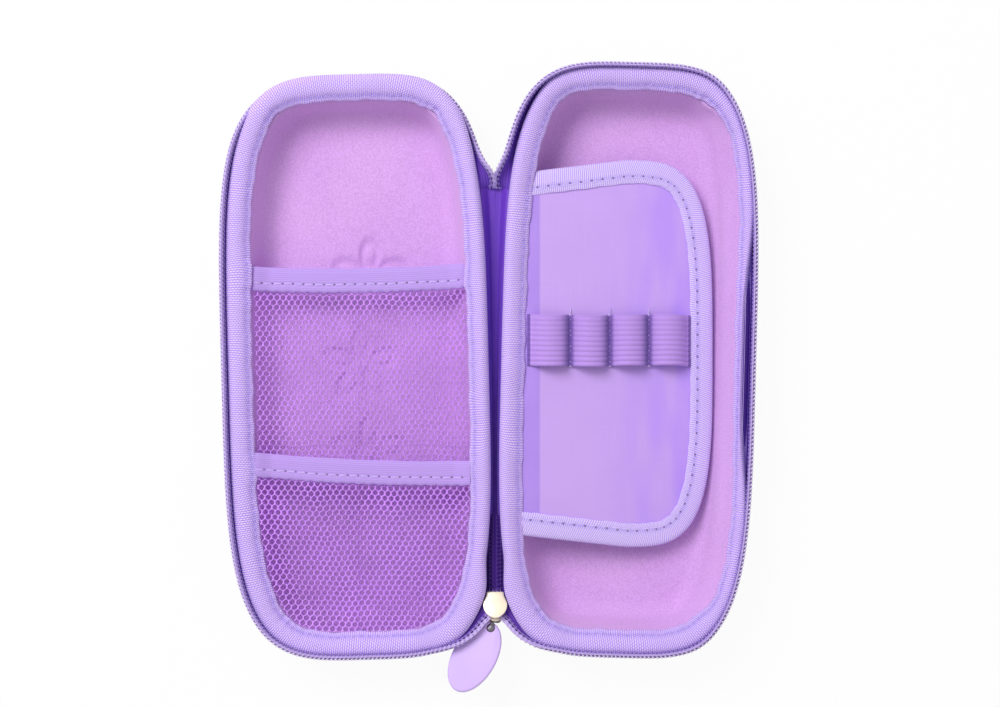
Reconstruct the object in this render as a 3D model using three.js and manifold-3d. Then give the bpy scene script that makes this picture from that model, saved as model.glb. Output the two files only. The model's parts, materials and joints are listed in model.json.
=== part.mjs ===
// A pencil case lying open flat: two moulded halves joined by a fabric spine, a zip that runs round
// both rims, two net pockets in the front half and a hinged pen page in the back half.
// Millimetres, +Z up. X runs across the spine, Y along it, and the ground is at Z = 0.
import * as THREE from 'three';
import { mergeGeometries, mergeVertices } from 'three/addons/utils/BufferGeometryUtils.js';
import Module from 'manifold-3d';

const wasm = await Module();
wasm.setup();

// Halves, over their edge binding. The back half is a little slimmer and longer than the front one.
const frontWidth = 98.6;
const frontLength = 219.6;
const frontShift = -1.2;
const backSlimmer = 3.2;
const backLonger = 3.4;
const backShift = 1.2;
const backWidth = frontWidth - backSlimmer;
const backLength = frontLength + backLonger;
const halfDepth = 24;
const spineHalfGap = 1.6;
const splayDegrees = 1.5;
const outlinePower = 4;

// Moulded shell and lining
const shellWall = 3.8;
const shellFloor = 3.4;
const shellBaseRadius = 9;
const trayRadius = 7.6;
const wallDraftDegrees = 14;
const liningThickness = 0.9;
const skinGap = 0.1;

// Relief panel let into the front cover
const panelLength = 132;
const panelWidth = 48;
const panelRecess = 1.5;
const panelFit = 0.3;
const panelPlate = 0.6;
const petalRise = 0.5;
const petalLength = 13;
const petalWidth = 7.6;
const petalPlace = 8.6;
const petalCount = 5;
const flowerPitch = 35;
const flowerCount = 3;
const flowerSetOff = 1.6;

// Edge binding
const bindingWidth = 7.6;
const bindingThickness = 0.8;
const bindingLeg = 4.4;
const bindingFall = 3;
const bindingRoll = 2.4;
const slotGap = 0.15;

// Zip
const tapeReach = 7;
const tapeThickness = 0.5;
const tapeTuck = 1.6;
const tapeFoot = 1.1;
const coilWidth = 2.5;
const coilHeight = 2.1;
const chainGap = 0.4;
const coilGap = 0.1;
const longSideStandDegrees = 64;
const endStandDegrees = 78;
const standOver = 32;

// Spine: the hinge strip starts this far below the halves' upper end, and the slider is parked this
// far above their lower end, with a stretch of closed chain between the two
const stripSetback = 43.3;
const sliderSetback = 18.2;
const closedChain = 33.6;
const stripTop = frontLength / 2 - stripSetback;
const sliderPlace = sliderSetback - frontLength / 2;
const stripBottom = sliderPlace + closedChain;
const stripThickness = 0.6;
const stripFullness = 0.93;
const stripFlatShare = 0.55;
const stripShoulderShare = 0.8;
const stripEndGap = 0.4;

// Slider, link and puller
const sliderLength = 10.4;
const sliderWidth = 9.2;
const sliderBackWidth = 6.6;
const sliderPlate = 1.1;
const sliderThroat = 3.4;
const postWidth = 1.4;
const postLength = 2.4;
const postInset = 0.9;
const bridgePlace = 0.9;
const bridgeLength = 4.6;
const bridgeWidth = 1.8;
const bridgeOpening = 1.7;
const bridgeBar = 0.9;
const linkBar = 1;
const linkHoleWidth = 4.2;
const linkHoleLength = 2.6;
const linkNeck = 0.9;
const linkNeckWidth = 1.8;
const tailRadius = 1.5;
const tailFit = 0.1;
const tailWall = 0.7;
const pullerLength = 29.4;
const pullerWidth = 16.8;
const pullerThickness = 3.4;
const pullerRound = 0.7;
const linkTurnDegrees = 15;
const pullerTurnDegrees = 15;
const pullDropDegrees = 10;
const cutOverrun = 1;

// Net pockets. A hem's place is where the middle of its band meets the outer wall.
const netThickness = 0.6;
const netDrop = 5.6;
const netSpacing = 1.9;
const netWallGap = 0.12;
const netBar = 1.6;
const netBorder = 2.6;
const netRowShare = 0.8;
const hemWidth = 9.4;
const hemThickness = 1;
const upperPocketLength = 142.2;
const lowerPocketLength = 70.8;
const netFoldAbove = 7.4;
const upperHem = { fall: -1.4, sag: 1.2, pitch: 12.4, drop: netDrop + netSpacing };
upperHem.place = upperPocketLength - frontLength / 2;
const lowerHem = { fall: 3.4, sag: 1.3, pitch: 10.4, drop: netDrop };
lowerHem.place = lowerPocketLength - frontLength / 2;
const netFoldPlace = lowerHem.place + netFoldAbove;
const hemSteps = 10;

// Pen page, measured from its hinge line
const pageHingePlace = 10;
const pageHingeDrop = 4.4;
const pageEdgeDrop = 11.275;
const pageSideSetback = 20;
const pageTopSetback = 33.3;
const pageBottomSetback = 40.5;
const pageCorner = 33.8;
const pageTopSlope = 5.6;
const pageBottomSlope = 5.2;
const pageWidth = backWidth - pageSideSetback;
const pageTop = backLength / 2 - pageTopSetback;
const pageBottom = pageBottomSetback - backLength / 2;
const pageShoulder = pageWidth - pageCorner;
const pageLeftTop = pageTop - pageTopSlope;
const pageLeftBottom = pageBottom + pageBottomSlope;
const pagePower = 3.6;
const boardThickness = 1.4;
const pageFabric = 0.4;
const boardSetback = 3.4;
const pageEdgeGap = 0.55;
const pageFit = 0.15;
const pageBindingWidth = 8.6;
const pageBindingThickness = 0.7;

// Pen loops
const loopBandWidth = 20;
const loopBandPlace = 8.6;
const loopThickness = 0.9;
const loopRise = 6.6;
const loopFlat = 1.6;
const loopStart = 3.4;
const loopEndGap = 1.4;
const loopCount = 4;
const loopPitch = (pageWidth - pageBindingWidth - loopStart - loopEndGap) / loopCount;
const loopSteps = 6;
const seamWidth = 0.8;
const seamHeight = 0.5;

// Counts
const outlineSteps = 720;
const ringSteps = 52;
const turnShare = 0.55;
const filletSteps = 3;
const stripSteps = 14;
const pageCornerSteps = 9;
const ovalSteps = 20;
const noseSteps = 12;
const roundSteps = 2;
const petalSteps = 10;
const discSides = 16;
const panelSteps = 32;
const coilSides = 6;
const rollSteps = 2;

const radians = THREE.MathUtils.degToRad;

function fabric(color, roughness) {
  return new THREE.MeshStandardMaterial({ color, roughness, metalness: 0 });
}

function metal(color, roughness) {
  return new THREE.MeshStandardMaterial({ color, roughness, metalness: 1 });
}

const coverFabric = fabric(0xd9cdf0, 0.7);
const reliefRubber = fabric(0xe6dcf6, 0.6);
const liningFabric = fabric(0xd4a5e6, 0.95);
const bindingFabric = fabric(0xccb8f7, 0.8);
const tapeFabric = fabric(0x5a3bb5, 0.85);
const coilNylon = fabric(0xc9b4ee, 0.45);
const netFabric = fabric(0xb07fe0, 0.8);
const hemFabric = fabric(0xb995f0, 0.85);
const satinNylon = fabric(0xc7a6ff, 0.5);
const stripNylon = fabric(0x4a2bb0, 0.55);
const loopElastic = fabric(0xb88ceb, 0.85);
const seamThread = fabric(0xd9c4ff, 0.7);
const pageBoard = fabric(0xe8e2d8, 0.9);
const sliderPaint = metal(0xfaf0d9, 0.35);
const linkMetal = metal(0x6b6870, 0.35);
const pullerRubber = fabric(0xe0c7ff, 0.6);

// Triangle soup helpers: every solid is made as points and faces, then turned to face outwards.

function signedVolume(points, faces) {
  let sum = 0;
  for (const [a, b, c] of faces) {
    sum += points[a].dot(points[b].clone().cross(points[c]));
  }
  return sum;
}

function solidFrom(points, faces) {
  const turned = signedVolume(points, faces) < 0;
  const geometry = new THREE.BufferGeometry();
  const numbers = points.flatMap((p) => [p.x, p.y, p.z]);
  geometry.setAttribute('position', new THREE.Float32BufferAttribute(numbers, 3));
  geometry.setIndex(faces.flatMap(([a, b, c]) => (turned ? [a, c, b] : [a, b, c])));
  return geometry;
}

// A skin over rings of equal length. Rings run closed round themselves; the ends get fan caps.
function loft(rings) {
  const size = rings[0].length;
  const points = rings.flat();
  const faces = [];
  for (let k = 0; k + 1 < rings.length; k += 1) {
    for (let i = 0; i < size; i += 1) {
      const j = (i + 1) % size;
      faces.push([k * size + i, k * size + j, (k + 1) * size + j]);
      faces.push([k * size + i, (k + 1) * size + j, (k + 1) * size + i]);
    }
  }
  for (const k of [0, rings.length - 1]) {
    const middle = rings[k].reduce((sum, p) => sum.add(p), new THREE.Vector3()).divideScalar(size);
    points.push(middle);
    for (let i = 0; i < size; i += 1) {
      const edge = [k * size + i, k * size + ((i + 1) % size)];
      faces.push(k === 0 ? [edge[1], edge[0], points.length - 1] : [edge[0], edge[1], points.length - 1]);
    }
  }
  return solidFrom(points, faces);
}

// A closed section swept through stations. A closed sweep joins its last station to its first; an
// open one is capped with the section's own flat triangulation.
function sweep(stations, closed, flatSection) {
  const size = stations[0].length;
  const points = stations.flat();
  const faces = [];
  const count = stations.length;
  for (let k = 0; k < (closed ? count : count - 1); k += 1) {
    const next = (k + 1) % count;
    for (let i = 0; i < size; i += 1) {
      const j = (i + 1) % size;
      faces.push([k * size + i, k * size + j, next * size + j]);
      faces.push([k * size + i, next * size + j, next * size + i]);
    }
  }
  if (!closed) {
    const capFaces = THREE.ShapeUtils.triangulateShape(flatSection, []);
    const last = (count - 1) * size;
    const sameTurn = THREE.ShapeUtils.area(flatSection) > 0;
    for (const [a, b, c] of capFaces) {
      faces.push(sameTurn ? [a, c, b] : [a, b, c]);
      faces.push(sameTurn ? [last + a, last + b, last + c] : [last + a, last + c, last + b]);
    }
  }
  return solidFrom(points, faces);
}

// A ribbon section: a centre line given thickness, as a closed loop of flat points.
function ribbon(line, thickness) {
  const left = [];
  const right = [];
  for (let i = 0; i < line.length; i += 1) {
    const before = line[Math.max(i - 1, 0)];
    const after = line[Math.min(i + 1, line.length - 1)];
    const into = line[i].clone().sub(before);
    const out = after.clone().sub(line[i]);
    const along = into.clone().normalize().add(out.clone().normalize()).normalize();
    const across = new THREE.Vector2(-along.y, along.x);
    const inner = i > 0 && i < line.length - 1;
    const mitre = inner ? Math.sqrt((1 + into.normalize().dot(out.normalize())) / 2) : 1;
    across.multiplyScalar(thickness / 2 / mitre);
    left.push(line[i].clone().add(across));
    right.push(line[i].clone().sub(across));
  }
  return [...left, ...right.reverse()];
}

function toManifold(geometry) {
  const plain = geometry.clone();
  plain.deleteAttribute('normal');
  plain.deleteAttribute('uv');
  const merged = mergeVertices(plain);
  const vertProperties = new Float32Array(merged.attributes.position.array);
  const triVerts = new Uint32Array(merged.index.array);
  return new wasm.Manifold(new wasm.Mesh({ numProp: 3, vertProperties, triVerts }));
}

function fromManifold(solid) {
  const mesh = solid.getMesh();
  const geometry = new THREE.BufferGeometry();
  geometry.setAttribute('position', new THREE.BufferAttribute(mesh.vertProperties, 3));
  geometry.setIndex(new THREE.BufferAttribute(mesh.triVerts, 1));
  return geometry;
}

function joined(geometries) {
  return fromManifold(geometries.map(toManifold).reduce((sum, solid) => sum.add(solid)));
}

function piece(name, geometry, material) {
  const mesh = new THREE.Mesh(geometry, material);
  mesh.name = name;
  return mesh;
}

// How far out a square-cornered oval of this power lies at an angle, when it lies one out on its axes.
function ovalReach(t, power) {
  return (Math.abs(Math.cos(t)) ** power + Math.abs(Math.sin(t)) ** power) ** (-1 / power);
}

// Each half is worked out as if it were the front one, with its spine side at +X, and the back one
// is then mirrored. An outline point holds its place, its inward normal and its distance round.
function outlineOf(width, length, shift) {
  const fine = [];
  for (let i = 0; i < outlineSteps; i += 1) {
    const t = (i / outlineSteps) * 2 * Math.PI;
    const reach = ovalReach(t, outlinePower);
    const place = new THREE.Vector2((width / 2) * reach * Math.cos(t), (length / 2) * reach * Math.sin(t));
    fine.push(place.rotateAround(new THREE.Vector2(), radians(splayDegrees)));
  }
  const inner = Math.max(...fine.map((p) => p.x));
  const offset = new THREE.Vector2(-inner - spineHalfGap, shift);
  fine.forEach((p) => p.add(offset));
  const normals = fine.map((p, i) => {
    const before = fine[(i + fine.length - 1) % fine.length];
    const along = fine[(i + 1) % fine.length].clone().sub(before).normalize();
    return new THREE.Vector2(-along.y, along.x);
  });
  const measure = [0];
  const lengthRound = fine.reduce((sum, p, i) => sum + p.distanceTo(fine[(i + 1) % fine.length]), 0);
  for (let i = 0; i < fine.length; i += 1) {
    const next = (i + 1) % fine.length;
    const turn = Math.abs(normals[i].cross(normals[next])) / (2 * Math.PI);
    const step = fine[i].distanceTo(fine[next]) / lengthRound;
    measure.push(measure[i] + (1 - turnShare) * step + turnShare * turn);
  }
  const points = [];
  for (let k = 0; k < ringSteps; k += 1) {
    const wanted = (k / ringSteps) * measure[fine.length];
    const i = measure.findIndex((m, n) => m <= wanted && measure[n + 1] > wanted);
    points.push({ place: fine[i], inward: normals[i] });
  }
  let round = 0;
  points.forEach((p, i) => {
    p.round = round;
    round += p.place.distanceTo(points[(i + 1) % ringSteps].place);
  });
  return { points, lengthRound: round };
}

const front = { name: 'front', side: 1, outline: outlineOf(frontWidth, frontLength, frontShift) };
const back = { name: 'back', side: -1, outline: outlineOf(backWidth, backLength, backShift) };

function at(half, inward, z, point) {
  return new THREE.Vector3(
    half.side * (point.place.x + inward * point.inward.x),
    point.place.y + inward * point.inward.y,
    z,
  );
}

function ring(half, inward, z) {
  return half.outline.points.map((point) => at(half, inward, z, point));
}

// The point of a half's rim at one place along the spine side. upper picks the part of the rim
// walked first, from the middle of the spine towards the top.
function spinePoint(half, y) {
  const { points, lengthRound } = half.outline;
  for (let i = 0; i < points.length; i += 1) {
    const a = points[i];
    const b = points[(i + 1) % points.length];
    const span = b.place.y - a.place.y;
    const share = (y - a.place.y) / span;
    if (span > 0 && share >= 0 && share < 1 && a.inward.x < 0) {
      return blendPoint(a, b, share, b.round > a.round ? b.round : lengthRound);
    }
  }
  throw new Error(`no rim at ${y}`);
}

function blendPoint(a, b, share, roundAtB) {
  return {
    place: a.place.clone().lerp(b.place, share),
    inward: a.inward.clone().lerp(b.inward, share).normalize(),
    round: a.round + share * (roundAtB - a.round),
  };
}

const wallDraft = radians(wallDraftDegrees);
const shellOuter = bindingThickness + tapeThickness + 2 * slotGap;
const rimWall = shellOuter + shellWall;
const liningOuter = rimWall + skinGap;
const bindingSlope = bindingFall / (bindingWidth - bindingThickness / 2 - bindingRoll);
const seamLevel = halfDepth - bindingLeg - tapeThickness / 2 - slotGap;

// Points of a drafted wall that turns into a floor, as [inward, z] from the top down. The inward
// distance is the wall's at rim level.
function wallProfile(inward, top, floor, radius) {
  const middle = inward + (halfDepth - floor - radius) * Math.tan(wallDraft) + radius / Math.cos(wallDraft);
  const profile = [[inward + (halfDepth - top) * Math.tan(wallDraft), top]];
  for (let k = 0; k <= filletSteps; k += 1) {
    const turn = THREE.MathUtils.lerp(wallDraft, Math.PI / 2, k / filletSteps);
    profile.push([middle - radius * Math.cos(turn), floor + radius * (1 - Math.sin(turn))]);
  }
  return profile;
}

// Where a drafted wall, named by its inward distance at rim level, meets the binding's underside.
function rimTop(inward) {
  const fall = bindingThickness + skinGap + (inward - bindingRoll) * bindingSlope;
  return halfDepth - fall / (1 - Math.tan(wallDraft) * bindingSlope);
}

// The panel lies in the middle of the front cover, which rests on the ground.
const panelMiddle = new THREE.Vector2(-spineHalfGap - frontWidth / 2, frontShift);

function panelOutline(inset) {
  const outline = new THREE.Path();
  outline.absellipse(0, 0, panelWidth / 2 - inset, panelLength / 2 - inset, 0, 2 * Math.PI);
  return outline.getPoints(panelSteps).slice(1).map((p) => p.add(panelMiddle));
}

function petalOutline(flower, n) {
  const side = flower % 2 ? -1 : 1;
  const petal = new THREE.Path();
  petal.absellipse(0, petalPlace, petalWidth / 2, petalLength / 2, 0, 2 * Math.PI);
  const turn = side * (n / petalCount) * 2 * Math.PI;
  const place = new THREE.Vector2(side * flowerSetOff, (flower - (flowerCount - 1) / 2) * flowerPitch);
  return petal
    .getPoints(petalSteps)
    .slice(1)
    .map((p) => p.rotateAround(new THREE.Vector2(), turn).add(place).add(panelMiddle));
}

function reliefGeometry() {
  const petalHeight = panelPlate + petalRise;
  const solids = [plate(panelOutline(panelFit), panelPlate, panelRecess - panelPlate)];
  for (let flower = 0; flower < flowerCount; flower += 1) {
    for (let n = 0; n < petalCount; n += 1) {
      solids.push(plate(petalOutline(flower, n), petalHeight, panelRecess - petalHeight));
    }
  }
  return joined(solids);
}

function shellGeometry(half) {
  const outside = wallProfile(shellOuter, halfDepth - bindingRoll, 0, shellBaseRadius);
  const inside = wallProfile(rimWall, rimTop(rimWall), shellFloor, trayRadius + liningThickness);
  const top = [bindingRoll, halfDepth - bindingThickness - skinGap];
  const profile = [...inside.reverse(), top, ...outside];
  return loft(profile.map(([inward, z]) => ring(half, inward, z)));
}

function liningGeometry(half) {
  const liningInner = liningOuter + liningThickness;
  const outside = wallProfile(liningOuter, rimTop(liningOuter), shellFloor, trayRadius + liningThickness);
  const inside = wallProfile(liningInner, rimTop(liningInner), shellFloor + liningThickness, trayRadius);
  return loft([...inside.reverse(), ...outside].map(([inward, z]) => ring(half, inward, z)));
}

function bindingSection() {
  const outer = [[0, -bindingLeg]];
  const inner = [[bindingThickness, -bindingLeg]];
  for (let k = 0; k <= rollSteps; k += 1) {
    const turn = ((k / rollSteps) * Math.PI) / 2;
    const small = bindingRoll - bindingThickness;
    outer.push([bindingRoll - bindingRoll * Math.cos(turn), bindingRoll * (Math.sin(turn) - 1)]);
    inner.push([bindingRoll - small * Math.cos(turn), small * Math.sin(turn) - bindingRoll]);
  }
  outer.push([bindingWidth, -bindingFall]);
  inner.push([bindingWidth - bindingThickness / 2, -bindingFall - bindingThickness]);
  return [...outer, ...inner.reverse()];
}

function bindingGeometry(half) {
  const section = bindingSection();
  const stations = half.outline.points.map((point) =>
    section.map(([inward, z]) => at(half, inward, halfDepth + z, point)),
  );
  return sweep(stations, true);
}

// How a zip tape leans at a point of the rim. On the spine it folds down until the two coils meet
// over the middle; past the slider, and past the hinge strip's top, it rises until it stands.
function tapeLean(half, point) {
  const sinceStrip = point.round - spinePoint(half, stripTop).round;
  const beforeSlider = spinePoint(half, sliderPlace + sliderLength / 2).round - point.round;
  const share = THREE.MathUtils.smoothstep(Math.min(sinceStrip, beforeSlider), 0, standOver);
  const hang = spineHang(-point.place.x - tapeThickness / 2);
  const stand = radians(THREE.MathUtils.lerp(longSideStandDegrees, endStandDegrees, point.inward.y ** 2));
  return { web: THREE.MathUtils.lerp(hang, stand, share), foot: THREE.MathUtils.lerp(0, stand, share) };
}

// The web's angle that brings the coil's edge to the middle plane, for a seam at this distance.
function spineHang(reachToMiddle) {
  const flat = tapeFoot + coilWidth + 2 * coilGap + chainGap / 2;
  const web = tapeReach - tapeFoot - coilWidth;
  return -Math.acos(THREE.MathUtils.clamp((reachToMiddle - flat) / web, -1, 1));
}

function tapeLine(half, point) {
  const { web, foot } = tapeLean(half, point);
  const slot = bindingThickness + slotGap + tapeThickness / 2;
  const tuck = new THREE.Vector2(slot, seamLevel + tapeTuck);
  const slotEnd = new THREE.Vector2(slot, seamLevel);
  const seam = new THREE.Vector2(-tapeThickness / 2, seamLevel);
  const webEnd = seam.clone().add(direction(web).multiplyScalar(tapeReach - tapeFoot - coilWidth));
  const footEnd = webEnd.clone().add(direction(foot).multiplyScalar(tapeFoot));
  return {
    line: [tuck, slotEnd, seam, webEnd, footEnd],
    coil: footEnd.clone().add(direction(foot).multiplyScalar(coilGap + coilWidth / 2)),
    foot,
  };
}

// Outwards is away from the half, so it is minus the inward offset.
function direction(angle) {
  return new THREE.Vector2(-Math.cos(angle), Math.sin(angle));
}

// Stations for the zip: from the top of the hinge strip, round the rim, to its lower end.
function zipPoints(half) {
  const { points } = half.outline;
  const first = spinePoint(half, stripTop + stripEndGap);
  const last = spinePoint(half, stripBottom - stripEndGap);
  const between = points.filter((p) => p.round > first.round && p.round < last.round);
  return [first, ...between, last];
}

function zipStations(half, sectionAt) {
  return zipPoints(half).map((point) => sectionAt(point).map((p) => at(half, p.x, p.y, point)));
}

function tapeGeometry(half) {
  const sectionAt = (point) => ribbon(tapeLine(half, point).line, tapeThickness);
  return sweep(zipStations(half, sectionAt), false, sectionAt(half.outline.points[ringSteps / 4]));
}

function coilGeometry(half) {
  const sectionAt = (point) => {
    const { coil, foot } = tapeLine(half, point);
    const section = [];
    for (let k = 0; k < coilSides; k += 1) {
      const turn = (k / coilSides) * 2 * Math.PI;
      const flat = new THREE.Vector2((coilWidth / 2) * Math.cos(turn), (coilHeight / 2) * Math.sin(turn));
      section.push(flat.rotateAround(new THREE.Vector2(), Math.PI - foot).add(coil));
    }
    return section;
  };
  return sweep(zipStations(half, sectionAt), false, sectionAt(half.outline.points[ringSteps / 4]));
}

// The hinge strip hangs as a trough between the two halves, its edges tucked in beside the bindings.
function stripGeometry() {
  const slot = bindingThickness + slotGap + tapeThickness / 2;
  const stations = [];
  let flatSection = null;
  for (let k = 0; k <= stripSteps; k += 1) {
    const y = THREE.MathUtils.lerp(stripBottom, stripTop, k / stripSteps);
    const left = at(front, slot, 0, spinePoint(front, y)).x;
    const right = at(back, slot, 0, spinePoint(back, y)).x;
    const halfGap = (right - left) / 2 - slot;
    const depth = stripFullness * Math.sqrt(Math.max(tapeReach ** 2 - halfGap ** 2, 0));
    const middle = (left + right) / 2;
    const turnIn = slot + bindingThickness / 2;
    const line = [
      new THREE.Vector2(left, seamLevel + tapeTuck),
      new THREE.Vector2(left, seamLevel),
      new THREE.Vector2(left + turnIn, seamLevel - stripThickness),
      new THREE.Vector2(middle - halfGap * stripFlatShare, seamLevel - depth * stripShoulderShare),
      new THREE.Vector2(middle + halfGap * stripFlatShare, seamLevel - depth * stripShoulderShare),
      new THREE.Vector2(right - turnIn, seamLevel - stripThickness),
      new THREE.Vector2(right, seamLevel),
      new THREE.Vector2(right, seamLevel + tapeTuck),
    ];
    flatSection = ribbon(line, tapeThickness);
    stations.push(flatSection.map((p) => new THREE.Vector3(p.x, y, p.y)));
  }
  return sweep(stations, false, flatSection);
}

// A flat plate: an outline raised from one level.
function plate(outline, thickness, level) {
  const options = { depth: thickness, bevelEnabled: false };
  return new THREE.ExtrudeGeometry(new THREE.Shape(outline), options).translate(0, 0, level);
}

function inside(polygon, p) {
  let within = false;
  for (let i = 0, j = polygon.length - 1; i < polygon.length; j = i, i += 1) {
    const crosses = polygon[i].y > p.y !== polygon[j].y > p.y;
    const share = (p.y - polygon[i].y) / (polygon[j].y - polygon[i].y);
    if (crosses && p.x < polygon[i].x + share * (polygon[j].x - polygon[i].x)) {
      within = !within;
    }
  }
  return within;
}

// The tray's outline at a level, as flat points that run round the front half.
function trayEdge(level, inset) {
  const inward = liningOuter + liningThickness + (halfDepth - level) * Math.tan(wallDraft) + inset;
  return ring(front, inward, level).map((p) => new THREE.Vector2(p.x, p.y));
}

// The height along the spine of a hem's middle, at a place across the tray.
function hemLine(hem, x, edge) {
  const left = Math.min(...edge.map((p) => p.x));
  const right = Math.max(...edge.map((p) => p.x));
  const share = (x - left) / (right - left);
  return hem.place - hem.fall * share - 4 * hem.sag * share * (1 - share);
}

// Where a line raised from a hem's middle meets the tray's outline, on its left and on its right.
function hemEnds(hem, edge, rise) {
  const above = (p) => p.y > hemLine(hem, p.x, edge) + rise;
  const ends = [];
  edge.forEach((a, i) => {
    const b = edge[(i + 1) % edge.length];
    if (above(a) !== above(b)) {
      const heightAt = (p) => p.y - hemLine(hem, p.x, edge) - rise;
      ends.push(a.clone().lerp(b, heightAt(a) / (heightAt(a) - heightAt(b))));
    }
  });
  return ends.sort((a, b) => a.x - b.x);
}

function hemCurve(hem, edge, rise) {
  const [left, right] = hemEnds(hem, edge, rise);
  const curve = [];
  for (let k = 0; k <= hemSteps; k += 1) {
    const x = THREE.MathUtils.lerp(left.x, right.x, k / hemSteps);
    curve.push(new THREE.Vector2(x, hemLine(hem, x, edge) + rise));
  }
  return curve;
}

// The tray's outline up to a line above or below a hem's middle, closed along that line.
function belowHem(hem, edge, rise) {
  const below = (p) => p.y < hemLine(hem, p.x, edge) + rise;
  const first = edge.findIndex((p, i) => below(p) && !below(edge[(i + edge.length - 1) % edge.length]));
  const run = [...edge.slice(first), ...edge.slice(0, first)].filter(below);
  const curve = hemCurve(hem, edge, rise);
  return [...run, ...(run[run.length - 1].x < run[0].x ? curve : curve.reverse())];
}

// An opening in the net keeps to one side of the fold, with a bar of net along it.
function offFold(diamond) {
  const past = diamond.map((p) => p.y - netFoldPlace);
  return Math.min(...past) > netBar / 2 || Math.max(...past) < -netBar / 2;
}

function netSolid(hem) {
  const level = halfDepth - hem.drop;
  const edge = trayEdge(level, netWallGap);
  const field = trayEdge(level, netWallGap + netBorder);
  const row = hem.pitch * netRowShare;
  const inscribed = (hem.pitch * row) / 4 / Math.hypot(hem.pitch / 2, row / 2);
  const openShare = 1 - netBar / 2 / inscribed;
  const middle = (edge[0].x + edge[ringSteps / 2].x) / 2;
  const lowest = Math.min(...edge.map((p) => p.y));
  const wide = (hem.pitch / 2) * openShare;
  const tall = (row / 2) * openShare;
  const corners = [[wide, 0], [0, tall], [-wide, 0], [0, -tall]];
  const belowBand = (p) => p.y < hemLine(hem, p.x, edge) - hemWidth / 2 - netBar / 2;
  const clear = (p) => inside(field, p) && belowBand(p);
  const holes = [];
  for (let j = 1; lowest + (j * row) / 2 < hem.place; j += 1) {
    const shift = j % 2 ? hem.pitch / 2 : 0;
    const reach = Math.ceil(frontWidth / 2 / hem.pitch);
    for (let i = -reach; i <= reach; i += 1) {
      const x = middle + i * hem.pitch + shift;
      const y = lowest + netBorder + (j * row) / 2;
      const diamond = corners.map(([u, v]) => new THREE.Vector2(x + u, y + v));
      if (diamond.every(clear) && offFold(diamond)) {
        holes.push(plate(diamond, netThickness + 2 * cutOverrun, level - cutOverrun));
      }
    }
  }
  const web = toManifold(plate(belowHem(hem, edge, 0), netThickness, level));
  return web.subtract(toManifold(mergeGeometries(holes)));
}

// The upper net opens along a fold just above the lower pocket, and stays put beneath it.
function upperNetParts() {
  const [top, base] = netSolid(upperHem).splitByPlane([0, 1, 0], netFoldPlace);
  return { top: fromManifold(top), base: fromManifold(base) };
}

function hemGeometry(hem) {
  const edge = trayEdge(halfDepth - hem.drop, netWallGap);
  const outline = [...hemCurve(hem, edge, -hemWidth / 2), ...hemCurve(hem, edge, hemWidth / 2).reverse()];
  return plate(outline, hemThickness, halfDepth - hem.drop + netThickness);
}

// The page is laid out flat, with U from its hinge line and V along it, and then tilted in its group.
function pageEdge() {
  const edge = [new THREE.Vector2(0, pageLeftTop)];
  edge.push(new THREE.Vector2(pageShoulder / 2, (pageLeftTop + pageTop) / 2));
  const middle = (pageTop + pageBottom) / 2;
  const half = (pageTop - pageBottom) / 2;
  for (let k = 0; k <= pageCornerSteps; k += 1) {
    const t = Math.PI / 2 - (k / pageCornerSteps) * Math.PI;
    const reach = ovalReach(t, pagePower);
    const u = pageShoulder + (pageWidth - pageShoulder) * reach * Math.cos(t);
    edge.push(new THREE.Vector2(u, middle + half * reach * Math.sin(t)));
  }
  edge.push(new THREE.Vector2(pageShoulder / 2, (pageLeftBottom + pageBottom) / 2));
  edge.push(new THREE.Vector2(0, pageLeftBottom));
  return edge;
}

// The page's root side, which follows the back half's binding.
const pageRootSide = back.outline.points
  .filter((point) => point.inward.x < 0)
  .map((point) => at(back, bindingWidth + pageEdgeGap, 0, point))
  .sort((a, b) => a.y - b.y);

function pageRoot(v) {
  const n = pageRootSide.findIndex((p) => p.y > v);
  const [a, b] = [pageRootSide[n - 1], pageRootSide[n]];
  return THREE.MathUtils.lerp(a.x, b.x, (v - a.y) / (b.y - a.y)) - pageHingePlace;
}

function insetEdge(inset, setback) {
  const edge = pageEdge();
  return edge.map((p, i) => {
    const before = edge[Math.max(i - 1, 0)];
    const after = edge[Math.min(i + 1, edge.length - 1)];
    const along = after.clone().sub(before).normalize();
    const inward = new THREE.Vector2(along.y, -along.x);
    const moved = p.clone().addScaledVector(inward, inset);
    return i === 0 || i === edge.length - 1 ? moved.setX(pageRoot(moved.y) + setback) : moved;
  });
}

// A layer of the page: its three outer sides inset, and its left side set back from the binding.
function pageOutline(inset, setback) {
  const edge = insetEdge(inset, setback);
  const top = edge[0].y;
  const bottom = edge[edge.length - 1].y;
  const leftSide = pageRootSide
    .filter((p) => p.y > bottom && p.y < top)
    .map((p) => new THREE.Vector2(p.x - pageHingePlace + setback, p.y));
  return [...edge, ...leftSide];
}

const pageHalf = boardThickness / 2 + pageFabric;

function pageBindingGeometry() {
  const outer = pageHalf + pageBindingThickness;
  const section = [
    [pageBindingWidth, outer],
    [0, outer],
    [-pageBindingThickness, pageHalf],
    [-pageBindingThickness, -pageHalf],
    [0, -outer],
    [pageBindingWidth, -outer],
    [pageBindingWidth, -pageHalf],
    [0, -pageHalf],
    [0, pageHalf],
    [pageBindingWidth, pageHalf],
  ];
  const edges = section.map(([inset]) => insetEdge(inset, pageBindingThickness));
  const place = (i) => section.map(([, w], k) => new THREE.Vector3(edges[k][i].x, edges[k][i].y, w));
  const stations = edges[0].map((_, i) => place(i));
  return sweep(stations, false, section.map(([inset, w]) => new THREE.Vector2(-inset, w)));
}

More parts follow.
